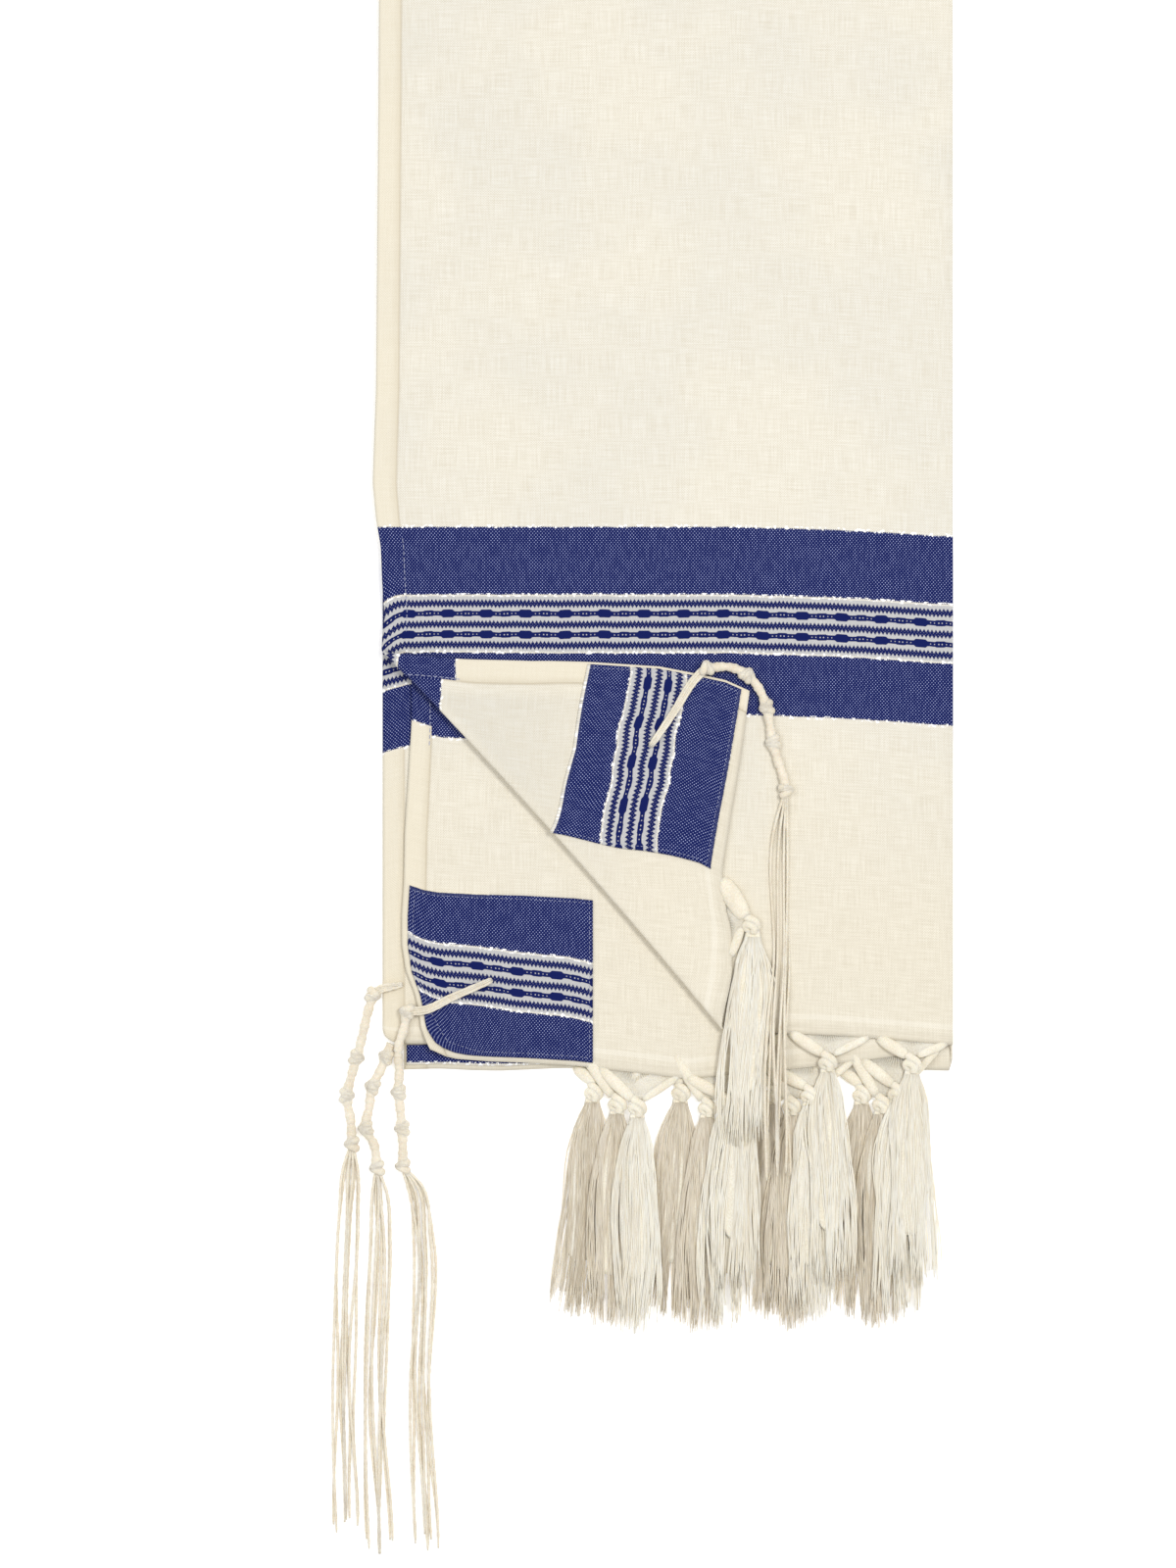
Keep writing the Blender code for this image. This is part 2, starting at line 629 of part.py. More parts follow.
FRINGE_BOTTOM = (
    # x, y, z, kind
    (-99.8, -107.8, 4.5, "loop"), (-106.0, -109.0, 4.4, "loop"), (-111.5, -110.2, 4.0, "loop"),
    (-115.4, -113.4, FLOOR_CORD, "knot"), (-118.2, -122.0, FLOOR_CORD, "cord"),
    (-121.0, -134.0, FLOOR_CORD, "cord"), (-124.2, -147.0, FLOOR_CORD, "knot"),
    (-127.4, -157.5, FLOOR_CORD, "cord"), (-129.6, -167.4, FLOOR_CORD, "knot"),
    (-127.6, -181.0, FLOOR_CORD, "cord"), (-127.0, -193.6, FLOOR_CORD, "knot"),
)
LOOSE_BOTTOM = (
    # x, y, z, half width
    (-127.6, -206.0, 1.5, 3.2), (-129.0, -232.0, 1.5, 4.2), (-131.5, -310.0, 1.5, 5.0),
    (-130.0, -399.0, 1.5, 5.0),
)


def clear_scene():
    for old in list(bpy.data.objects):
        bpy.data.objects.remove(old, do_unlink=True)


def stand_at_origin():
    """Move everything so that the origin is below the middle of the whole, on the floor."""
    points = [p.co for part in bpy.data.objects for p in part.data.vertices]
    low = [min(p[axis] for p in points) for axis in range(3)]
    high = [max(p[axis] for p in points) for axis in range(3)]
    shift = Vector((-(low[0] + high[0]) / 2, -(low[1] + high[1]) / 2, -low[2]))
    for part in bpy.data.objects:
        part.data.transform(Matrix.Translation(shift))


clear_scene()
MATERIALS = {
    "cloth": material("cream_wool", (0.86, 0.82, 0.70), 0.85),
    "patch": material("blue_band", (0.03, 0.05, 0.22), 0.8),
    "tassel": material("warp_ends", (0.80, 0.75, 0.64), 0.9),
    "fringe": material("white_wool_cord", (0.88, 0.86, 0.80), 0.9),
}
cloth_and_patches()
bottom_patch()
lower_layers()
turned_tassel()
tassels()
corner_fringe("fringe_top", FRINGE_TOP, LOOSE_TOP)
corner_fringe("fringe_inner", FRINGE_INNER, LOOSE_INNER)
corner_fringe("fringe_third", FRINGE_THIRD, LOOSE_THIRD, Vector((1, 0, 0)))
corner_fringe("fringe_bottom", FRINGE_BOTTOM, LOOSE_BOTTOM)
stand_at_origin()
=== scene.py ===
"""Looks of the folded prayer shawl: woven cloth, corner patches, tassels and corner fringes.

Sizes are in millimetres in the plan of the folded cloth, whose origin is the middle of
the camera's view, until the meshes are made. A point of the flat cloth is given by how
far it lies in from the top layer's left edge, round the right fold (u), and up from the
end of the cloth (v).
"""
import math
import random

import bmesh
import bpy
import numpy as np
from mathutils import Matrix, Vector


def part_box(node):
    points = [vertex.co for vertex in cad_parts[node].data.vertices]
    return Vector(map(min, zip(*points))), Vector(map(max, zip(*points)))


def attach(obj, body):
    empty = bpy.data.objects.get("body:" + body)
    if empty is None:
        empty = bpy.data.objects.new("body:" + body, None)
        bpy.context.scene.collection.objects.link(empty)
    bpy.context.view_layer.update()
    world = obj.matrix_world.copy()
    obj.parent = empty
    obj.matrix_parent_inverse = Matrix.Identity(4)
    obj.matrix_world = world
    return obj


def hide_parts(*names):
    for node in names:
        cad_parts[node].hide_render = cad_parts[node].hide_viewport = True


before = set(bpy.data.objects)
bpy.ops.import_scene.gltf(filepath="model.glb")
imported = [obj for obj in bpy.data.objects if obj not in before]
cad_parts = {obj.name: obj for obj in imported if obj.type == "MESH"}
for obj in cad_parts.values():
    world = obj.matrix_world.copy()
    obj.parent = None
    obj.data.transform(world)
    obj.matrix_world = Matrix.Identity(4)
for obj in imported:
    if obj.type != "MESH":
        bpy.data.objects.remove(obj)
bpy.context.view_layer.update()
MM = 0.001

# Plan and heights of the folded cloth, as its solids have them
LEFT_X = -110.5
INNER_LEFT_X = -98.4
FOLD_X = 196.0
END_Y = -132.6
LENGTH = 915.0
WALL = 1.2
SEAM_GAP = 0.3
TOP_Z = 6.15
INNER_Z = 4.15
MIDDLE_Z = 3.375
HEM_WIDTH = 11.6
HEM_EXTRA = 0.5
CORNER_FOLD_V = 209.0
CORNER_FOLD_U = 187.0
CORNER_FOLD_RADIUS = 2.6
CORNER_FOLD_BEND = math.pi * CORNER_FOLD_RADIUS
CORNER_FOLD_BOW = 3.0
CORNER_SETTLE = 24.0
CORNER_SLIDE = 60.0
FOLD_FADE = 15.0
BOW_FADE = 60.0
CORNER_REST = WALL + 0.45
# How sharply the roll of the turned corner comes up to its crest; less is sharper
CREST_SHARPNESS = 0.3
EDGE_SAG = 0.9
EDGE_SAG_WIDTH = 18.0
NOSE_FADE = 40.0
# The top layer's left edge is dragged down by the turned corner
DRAG = 5.5
DRAG_WIDTH = 11.0
DRAG_TOP = 262.0
DRAG_FADE = 40.0
PATCH_THICK = 0.9
PATCH_ACROSS = 98.0
PATCH_ALONG = 88.0
TASSEL_LENGTH = 116.0
EDGE_FADE = 60.0
FLOOR_CORD = 2.55

BEND_RADIUS = (TOP_Z - INNER_Z) / 2
BEND_X = FOLD_X - BEND_RADIUS - WALL / 2
BEND_START = BEND_X - LEFT_X
BEND_END = BEND_START + math.pi * BEND_RADIUS
ACROSS = BEND_END + BEND_X - INNER_LEFT_X
NOSE_RADIUS = TOP_Z - MIDDLE_Z
TOP_Y = END_Y + LENGTH

# The third and bottom layers
THIRD_LEFT_X, THIRD_END_Y = (-110.5, -139.5)
BOTTOM_LEFT_X, BOTTOM_END_Y = (-99.0, -153.5)
THIRD_Z = 2.6
BOTTOM_Z = 0.6
LOWER_BEND = (THIRD_Z - BOTTOM_Z) / 2
LOWER_BEND_X = FOLD_X - LOWER_BEND - WALL / 2
LOWER_START = LOWER_BEND_X - THIRD_LEFT_X
LOWER_END = LOWER_START + math.pi * LOWER_BEND
LOWER_ACROSS = LOWER_END + LOWER_BEND_X - BOTTOM_LEFT_X
LOWER_LENGTH = TOP_Y - SEAM_GAP - THIRD_END_Y
THIRD_SAG = 1.75
THIRD_SAG_WIDTH = 13.5
BOTTOM_WAVE = 0.7

TOP_EDGE = (
    # v, shift to the right
    (208, 0.6), (225, 1.5), (243, 0.0), (260, -0.8), (275, -3.3), (294, -5.1), (321, -4.2),
    (345, -3.3), (500, -2.0), (915, 0.0),
)
INNER_EDGE = (
    # v, shift to the right
    (0, 13.7), (6, 10.8), (12, 8.6), (20, 7.7), (30, 5.4), (42, 0.6), (56, -1.6), (72, -1.6),
    (88, -0.5), (115, 0.0), (145, 2.0), (175, 3.7), (345, 2.0), (915, 0.0),
)
END_LINE = (
    # u, shift up
    (0, 0.0), (190, 0.0), (250, -2.6), (306, -7.4), (344, -14.7), (396, -21.0), (449, -25.7),
    (499, -19.9), (510, -18.6), (537, -17.0), (561, -16.3), (583, -15.0), (590, -13.6), (600, -9.9),
)
FLAP_HEM = (
    # v, shift right, shift up
    (0, -4.5, 2.1), (14, -3.4, 6.3), (30, -3.2, 8.0), (50, -2.9, 9.6), (90, -2.1, 7.7), (120, -2.2, 5.1),
    (155, -6.0, 4.2), (190, -9.0, 6.0),
)
FLAP_END = (
    # u, shift right, shift up
    (0, 0.0, 0.0), (40, -1.2, 0.2), (70, -2.8, 0.8), (98, -4.0, 0.2), (120, -0.1, 1.6), (145, 10.9, 6.7),
    (165, 27.9, 10.4), (187, 41.9, 10.4),
)
# The turned corner's patch in the flat cloth: its upper edge, and the ends of its lower one
PATCH_TURNED_EDGE = (
    # u, v
    (1.2, 89.6), (45.0, 92.5), (87.5, 104.6),
)
PATCH_TURNED_START = (1.2, 4.5)
PATCH_TURNED_CORNER = (98.9, 6.8)
# Share of the turned patch's height that its edge thread takes
EDGE_ROW = 0.01
# The inner layer's patch: the corner it starts from, and how far that corner is swept in
PATCH_INNER_START = (3.2, 2.6)
PATCH_INNER_SWEEP = (4, 3.4)

# Soft relief of the cloth: how far each kind of crease stands up
CREASE_TOP = 0.75
CREASE_FLAP = 0.9
CREASE_INNER = 0.35
FLAP_RIPPLE = 0.45
HEM_DIP = 0.28
HEM_PUCKER = 0.13
GATHERS = 0.35
GATHER_PITCH = 5.3
INNER_CURL = 2.3

upper_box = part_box("cloth_upper")
NOSE_REACH = NOSE_RADIUS + WALL / 2
SHIFT = np.array([upper_box[1].x / MM - FOLD_X, upper_box[1].y / MM - TOP_Y - NOSE_REACH, 0.0])


def table(rows, at, column=1):
    """Values of one column of a short table, in straight runs between its rows."""
    columns = np.array(rows, float)
    return np.interp(at, columns[:, 0], columns[:, column])


def smooth(t):
    """Soft step from 0 to 1."""
    t = np.clip(t, 0.0, 1.0)
    return t * t * (3 - 2 * t)


def wave(t):
    """Sine between 0 and 1."""
    return 0.5 + 0.5 * np.sin(t)


def sweep(most, near, width, off, reach):
    """Shift that rounds a corner: most at the corner, none at width and reach away from it."""
    return most * np.clip(1 - near / width, 0, 1) ** 2 * np.clip(1 - off / reach, 0, 1)


FOLD_SLOPE = math.hypot(1 / CORNER_FOLD_U, 1 / CORNER_FOLD_V)
TOWARD_U = -1 / CORNER_FOLD_U / FOLD_SLOPE
TOWARD_V = -1 / CORNER_FOLD_V / FOLD_SLOPE


def past_fold(u, v):
    """How far a point of the flat cloth lies past the fold of the turned corner."""
    return TOWARD_U * (u - CORNER_FOLD_U) + TOWARD_V * v


def fold_bow(u, v):
    """How far the corner's fold bows away from the corner, along its length."""
    run = math.hypot(CORNER_FOLD_U, CORNER_FOLD_V)
    share = np.clip(((CORNER_FOLD_U - u) * CORNER_FOLD_U + v * CORNER_FOLD_V) / run ** 2, 0, 1)
    return 4 * CORNER_FOLD_BOW * share * (1 - share)


def turned(u, v, past):
    """Plan place and height of points of the top layer that lie past the corner's fold."""
    radius = CORNER_FOLD_RADIUS
    angle = np.clip(past / radius, 0, math.pi)
    over = np.maximum(past - CORNER_FOLD_BEND, 0)
    ease = smooth(over / CORNER_SETTLE)
    slide = smooth(over / CORNER_SLIDE)
    reach = radius * np.sin(angle) - over - fold_bow(u, v) * (1 - ease) - past
    right = (table(FLAP_HEM, v) + table(FLAP_END, u)) * slide
    up = (table(FLAP_HEM, v, 2) + table(FLAP_END, u, 2)) * slide
    level = -np.cos(angle)
    crest = np.where(level > 0, np.abs(level) ** CREST_SHARPNESS, level)
    height = TOP_Z + radius * (1 + crest) - (2 * radius - CORNER_REST) * ease
    return u + TOWARD_U * reach + right, v + TOWARD_V * reach + up, height


def place(u, v):
    """Places of the middle of the top and inner layers' cloth, as an array of points."""
    u, v = np.broadcast_arrays(np.asarray(u, float), np.asarray(v, float))
    along = np.minimum(v, LENGTH)
    past = past_fold(u, v)
    on_top = u <= BEND_START
    flap = on_top & (past > 0)
    near = np.where(on_top, smooth(-past / FOLD_FADE), 1.0)
    pull = np.where(on_top, fold_bow(u, v) * smooth(1 + past / BOW_FADE), 0)
    rise = table(END_LINE, u) * (1 - along / LENGTH) * near - TOWARD_V * pull
    dragged = DRAG * np.clip(1 - u / DRAG_WIDTH, 0, 1) ** 2 * smooth((DRAG_TOP - v) / DRAG_FADE) * near
    edge = table(TOP_EDGE, v) * np.clip(1 - u / EDGE_FADE, 0, 1) * near
    top_x = LEFT_X + u + edge - TOWARD_U * pull
    top_z = TOP_Z - EDGE_SAG * smooth(1 - u / EDGE_SAG_WIDTH) * near * smooth((LENGTH - v) / NOSE_FADE)
    angle = np.clip((u - BEND_START) / BEND_RADIUS, 0, math.pi)
    bend_x = BEND_X + BEND_RADIUS * np.sin(angle)
    bend_z = INNER_Z + BEND_RADIUS * (1 + np.cos(angle))
    inward = ACROSS - u
    inner_x = INNER_LEFT_X + inward + table(INNER_EDGE, v) * np.clip(1 - inward / EDGE_FADE, 0, 1)
    bending = (u > BEND_START) & (u < BEND_END)
    x = np.where(on_top, top_x, np.where(bending, bend_x, inner_x))
    z = np.where(on_top, top_z, np.where(bending, bend_z, INNER_Z))
    y = END_Y + along + rise - np.where(on_top, dragged, 0)
    flap_u, flap_v, flap_z = turned(u, v, np.maximum(past, 0))
    x = np.where(flap, LEFT_X + flap_u, x)
    y = np.where(flap, END_Y + flap_v, y)
    z = np.where(flap, flap_z, z)
    turn = np.maximum(v - LENGTH, 0) / NOSE_RADIUS
    reach = z - MIDDLE_Z
    y = np.where(v > LENGTH, TOP_Y + reach * np.sin(turn), y)
    z = np.where(v > LENGTH, MIDDLE_Z + reach * np.cos(turn), z)
    return np.stack([x, y, z], axis=-1)


def place_lower(u, v):
    """Places of the middle of the third and bottom layers' cloth."""
    u, v = np.broadcast_arrays(np.asarray(u, float), np.asarray(v, float))
    third = u <= LOWER_START
    bending = u < LOWER_END
    angle = np.clip((u - LOWER_START) / LOWER_BEND, 0, math.pi)
    inward = LOWER_ACROSS - u
    bend_x = LOWER_BEND_X + LOWER_BEND * np.sin(angle)
    x = np.where(third, THIRD_LEFT_X + u, np.where(bending, bend_x, BOTTOM_LEFT_X + inward))
    x = x + np.where(third, sweep(1.6, v, 7, u, 20), 0)
    z = np.where(third, THIRD_Z, BOTTOM_Z + LOWER_BEND * (1 + np.cos(angle)))
    z = z - np.where(third, THIRD_SAG * smooth(1 - u / THIRD_SAG_WIDTH) * smooth((v + 3) / 16), 0)
    lag = np.where(third, 0.0, np.where(bending, angle / math.pi, 1.0)) * (BOTTOM_END_Y - THIRD_END_Y)
    rippled = BOTTOM_WAVE * np.sin(inward / 13 + 1) * smooth((inward - 4) / 20) * smooth(1 - v / 18)
    y = THIRD_END_Y + v + lag * (1 - v / LOWER_LENGTH) + np.where(third, 0.0, rippled)
    y = y + np.where(third, sweep(3.5, u, 9, v, 12), 0)
    return np.stack([x, y, z], axis=-1)


def facing(spot, u, v):
    """Unit normals of a layer's right side."""
    step = 0.05
    across = spot(u + step, v) - spot(u - step, v)
    along = spot(u, v + step) - spot(u, v - step)
    normal = np.cross(across, along)
    return normal / np.linalg.norm(normal, axis=-1, keepdims=True)


def lift(u, v):
    """Soft creases and puckers of the top and inner layers, as a rise in millimetres."""
    past = past_fold(u, v)
    on_top = u <= BEND_START
    flap = on_top & (past > 0)
    inward = np.where(on_top, u, ACROSS - u)
    broad = wave(u / 41 + 1.1 * np.sin(v / 67) + 0.6) * wave(v / 53 + 0.9 * np.sin(u / 71))
    amount = np.where(on_top, np.where(flap, CREASE_FLAP, CREASE_TOP), CREASE_INNER)
    settled = np.where(flap, smooth((past - 8) / 12), np.where(on_top, smooth(-past / 25), 1.0))
    rise = amount * settled * broad
    ripple = wave((u * 0.74 - v * 0.67) / 9) * smooth((past - 8) / 10) * smooth((130 - past) / 60)
    rise = rise + np.where(flap, FLAP_RIPPLE * ripple, 0)
    hem_line = np.exp(-((inward - HEM_WIDTH) / 1.1) ** 2)
    rise = rise - HEM_DIP * hem_line * np.where(on_top & ~flap, 1.0, 0.0)
    puckers = np.sin(v / 1.35) * np.exp(-((inward - 9) / 5) ** 2) * (v < LENGTH - 30)
    rise = rise + HEM_PUCKER * puckers
    gathered = np.exp(-v / 11) * smooth((inward - PATCH_ACROSS) / 8) * GATHERS
    rise = rise + gathered * wave(2 * math.pi * inward / GATHER_PITCH)
    rise = rise + np.where(on_top, 0, INNER_CURL * np.exp(-(inward ** 2 / 160 + v ** 2 / 70)))
    return rise * smooth((LENGTH - v) / 60)


def spaced(*stretches):
    """Numbers from the first start through each (end, step) stretch."""
    values = [stretches[0]]
    for end, step in stretches[1:]:
        count = max(1, round((end - values[-1]) / step))
        values += list(np.linspace(values[-1], end, count + 1)[1:])
    return values


def net_of(columns, rows, fold_cuts=(), warp=None):
    """Flat net over (u, v), cut along lines parallel to the corner's fold."""
    net = bmesh.new()
    warp = warp or (lambda u, v: (u, v))
    lines = [[net.verts.new((*warp(u, v), 0)) for u in columns] for v in rows]
    for low, high in zip(lines, lines[1:]):
        for i in range(len(columns) - 1):
            net.faces.new((low[i], low[i + 1], high[i + 1], high[i]))
    toward = Vector((TOWARD_U, TOWARD_V, 0))
    start = Vector((CORNER_FOLD_U, 0, 0))
    for cut in fold_cuts:
        faces = [f for f in net.faces if abs((f.calc_center_median() - start).dot(toward) - cut) < 6
                 and f.calc_center_median().x < BEND_START]
        edges = {e for f in faces for e in f.edges}
        verts = {p for f in faces for p in f.verts}
        bmesh.ops.bisect_plane(net, geom=list(verts) + list(edges) + faces, dist=0.02,
                               plane_co=start + toward * cut, plane_no=toward)
    return net


def net_arrays(net):
    """Corner numbers of each face of a net, and the net's points."""
    net.verts.index_update()
    points = np.array([p.co[:2] for p in net.verts])
    faces = [[p.index for p in f.verts] for f in net.faces]
    rim = [(loop.vert.index, loop.link_loop_next.vert.index) for f in net.faces for loop in f.loops
           if loop.edge.is_boundary]
    net.free()
    return points, faces, rim


def in_scene(name, data):
    """A new object in the scene."""
    piece = bpy.data.objects.new(name, data)
    bpy.context.scene.collection.objects.link(piece)
    return piece


def make(name, points, faces, material):
    """A piece of the scene from points in millimetres of the plan."""
    data = bpy.data.meshes.new(name)
    data.from_pydata((np.asarray(points) + SHIFT) * MM, [], faces)
    data.update()
    data.shade_smooth()
    data.materials.append(material)
    piece = in_scene(name, data)
    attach(piece, "root")
    return piece


def shell(name, net, spot, rise, outer, inner, weave, material):
    """A thin closed shell over a net, with its flat weave place as UV in metres.

    outer and inner give the distances of its two sides from the middle of the cloth;
    weave gives the place in the woven bands for u, v and the side.
    """
    flat, faces, rim = net_arrays(net)
    u, v = flat[:, 0], flat[:, 1]
    middle = spot(u, v)
    normal = facing(spot, u, v)
    middle[:, 2] += rise(u, v)
    upper = middle + normal * outer(u, v)[:, None]
    lower = middle + normal * inner(u, v)[:, None]
    count = len(flat)
    sides = [list(f) for f in faces]
    sides += [[i + count for i in reversed(f)] for f in faces]
    sides += [[b, a, a + count, b + count] for a, b in rim]
    piece = make(name, np.concatenate([upper, lower]), sides, material)
    layer = piece.data.uv_layers.new(name="weave")
    corners = np.zeros(len(piece.data.loops), int)
    piece.data.loops.foreach_get("vertex_index", corners)
    lengths = np.array([len(f) for f in faces])
    middle_u = np.repeat([np.mean(flat[f, 0]) for f in faces], lengths)
    side_corners = np.zeros(4 * len(rim))
    face_u = np.concatenate([middle_u, middle_u, side_corners])
    wrong = np.concatenate([np.zeros(lengths.sum()), np.ones(lengths.sum()), side_corners])
    band_u, band_v = weave(u[corners % count], v[corners % count], face_u, wrong > 0)
    layer.data.foreach_set("uv", (np.stack([band_u, band_v], axis=1) * MM).ravel())
    return piece


class Nodes:
    """Short calls that add shader nodes and link them."""

    def __init__(self, name):
        self.material = bpy.data.materials.new(name)
        self.material.use_nodes = True
        self.tree = self.material.node_tree
        self.shader = self.tree.nodes["Principled BSDF"]

    def add(self, kind):
        return self.tree.nodes.new("ShaderNode" + kind)

    def set(self, name, value):
        self.put(self.shader.inputs[name], value)

    def put(self, socket, value):
        if isinstance(value, bpy.types.NodeSocket):
            self.tree.links.new(value, socket)
        else:
            socket.default_value = value

    def math(self, operation, *values):
        node = self.add("Math")
        node.operation = operation
        for socket, value in zip(node.inputs, values):
            self.put(socket, value)
        return node.outputs[0]

    def times(self, a, b):
        return self.math("MULTIPLY", a, b)

    def plus(self, a, b):
        return self.math("ADD", a, b)

    def minus(self, a, b):
        return self.math("SUBTRACT", a, b)

    def apart(self, a, b):
        """Distance of a from b."""
        return self.math("ABSOLUTE", self.minus(a, b))

    def fold(self, operation, values):
        """One value from several, joined two by two."""
        result = values[0]
        for value in values[1:]:
            result = self.math(operation, result, value)
        return result

    def ripple(self, value, pitch, operation="COSINE"):
        return self.math(operation, self.times(value, 2 * math.pi / pitch))

    def step(self, low, high, value):
        """Soft step of value from low to high."""
        node = self.add("MapRange")
        node.interpolation_type = "SMOOTHSTEP"
        self.put(node.inputs["Value"], value)
        node.inputs["From Min"].default_value = low
        node.inputs["From Max"].default_value = high
        return node.outputs[0]

    def mix(self, amount, low, high):
        node = self.add("Mix")
        node.data_type = "RGBA"
        self.put(node.inputs[0], amount)
        self.put(node.inputs[6], low if isinstance(low, bpy.types.NodeSocket) else (*low, 1))
        self.put(node.inputs[7], high if isinstance(high, bpy.types.NodeSocket) else (*high, 1))
        return node.outputs[2]

    def noise(self, vector, scale, detail=2.0):
        node = self.add("TexNoise")
        self.put(node.inputs["Vector"], vector)
        node.inputs["Scale"].default_value = scale
        node.inputs["Detail"].default_value = detail
        return node.outputs["Fac"]

    def cloud(self, u, v, along_u, along_v, detail=2.0):
        """Noise over the weave, stretched by its two scales."""
        return self.noise(self.vector(self.times(u, along_u), self.times(v, along_v)), 1.0, detail)

    def vector(self, x, y, z=0.0):
        node = self.add("CombineXYZ")
        for socket, value in zip(node.inputs, (x, y, z)):
            self.put(socket, value)
        return node.outputs[0]

    def weave(self):
        """The place in the weave, in millimetres."""
        uv = self.add("UVMap")
        uv.uv_map = "weave"
        parts = self.add("SeparateXYZ")
        self.tree.links.new(uv.outputs[0], parts.inputs[0])
        return self.times(parts.outputs[0], 1 / MM), self.times(parts.outputs[1], 1 / MM)

    def finish(self, colour, roughness, height=None, bump=0.3, depth=0.0004):
        self.set("Base Color", colour)
        self.set("Roughness", roughness)
        self.set("Specular IOR Level", 0.25)
        if height is not None:
            node = self.add("Bump")
            node.inputs["Strength"].default_value = bump
            node.inputs["Distance"].default_value = depth
            self.put(node.inputs["Height"], height)
            self.tree.links.new(node.outputs[0], self.shader.inputs["Normal"])
        return self.material


# The woven bands: places up the cloth
BLUE_HIGH = (234.2, 270.6)
BLUE_LOW = (169.8, 202.8)
PATTERN = (203.6, 233.4)
SILVER_LINES = (270.9, 234.0, 203.2, 169.5)
ZIGZAGS = (229.4, 218.1, 207.0)
CHAINS = (224.0, 212.7)

# Their figures: half of a zigzag's period, its rise and half width, and the chain's lozenges
ZIGZAG_HALF_PERIOD = 1.05
ZIGZAG_RISE = 0.85
ZIGZAG_HALF = 1.6
CHAIN_STEP = 21.2
CHAIN_SHIFT = 7.8
CHAIN_HALF = 1.3
LOZENGE_SWELL = 0.9
LINK_SWELL = 0.35
LINK_HOLES = (
    # distance from the lozenge, radius
    (9.7, 0.34), (7.4, 0.28), (5.3, 0.28),
)

# Threads: pitch of the light dots in the blue, of the cream weave and of the bands' toothed
# edges, how far the bands waver, and how soft a change of colour is
DOT_ACROSS = 1.72
DOT_ALONG = 1.95
THREAD_PITCH = 1.3
TOOTH_PITCH = 1.16
TOOTH = 0.22
WAVER = 1.3
SOFT_EDGE = 0.12
FIGURE_EDGE = 0.15

CREAM = (0.87, 0.84, 0.755)
CREAM_SHADE = (0.62, 0.56, 0.44)
# Painted light and shade over the cloth: a grey shade in patches further up, and a warmer light towards its
# end
CREAM_PAINTED_GREY_SHADE = (0.76, 0.76, 0.73)
CREAM_PAINTED_WARM_LIGHT = (0.87, 0.815, 0.69)
# Painted shade on the upper part of the turned corner's flap
FLAP_PAINTED_SHADE = (0.72, 0.705, 0.65)
# The hem strip's own tone, darkened partly as painted shade of the strip
HEM_TINT_AND_SHADE = (0.80, 0.73, 0.58)
# Painted shade and shadow line along the hem strip's inner edge
HEM_PAINTED_SHADOW = (0.50, 0.42, 0.29)
# Painted shadow seen through the holes of the open rows at the cloth's end
HOLE_SHADOW = (0.40, 0.35, 0.26)
DENSE_ROW = (0.90, 0.86, 0.76)
STRIPE = (0.50, 0.50, 0.51)
STRIPE_LIGHT = (0.74, 0.73, 0.72)
BLUE = (0.001, 0.007, 0.095)
BLUE_DOT = (0.50, 0.56, 0.86)
# Silver threads painted pure white, partly as a painted glint of the metal
SILVER_GLINT = (1.0, 1.0, 1.0)


def between(n, span, value):
    """Mask of a span up the cloth."""
    low, high = span
    return n.times(n.step(low - SOFT_EDGE, low + SOFT_EDGE, value),
                   n.step(high + SOFT_EDGE, high - SOFT_EDGE, value))


def zigzag(n, u, v, centre, dots):
    """A zigzag row with light threads through it."""
    teeth = n.times(n.math("PINGPONG", u, ZIGZAG_HALF_PERIOD), 2 * ZIGZAG_RISE / ZIGZAG_HALF_PERIOD)
    off = n.apart(n.minus(v, centre - ZIGZAG_RISE), teeth)
    row = n.step(ZIGZAG_HALF + FIGURE_EDGE, ZIGZAG_HALF - FIGURE_EDGE, off)
    return n.times(row, n.minus(1.0, n.times(n.step(0.6, 0.95, dots), 0.4)))


def chain(n, u, v, centre):
    """A row of lozenges joined by pierced links."""
    near = n.math("PINGPONG", n.plus(u, CHAIN_SHIFT), CHAIN_STEP / 2)
    half = n.plus(CHAIN_HALF, n.times(n.step(3.9, 2.4, near), LOZENGE_SWELL))
    half = n.plus(half, n.times(n.step(7.6, 8.6, near), LINK_SWELL))
    off = n.apart(v, centre)
    row = n.step(SOFT_EDGE, -SOFT_EDGE, n.minus(off, half))
    for hole, radius in LINK_HOLES:
        squares = n.plus(n.math("POWER", n.minus(near, hole), 2.0), n.math("POWER", off, 2.0))
        gap = n.math("POWER", squares, 0.5)
        row = n.times(row, n.step(radius - 0.1, radius + SOFT_EDGE, gap))
    return row


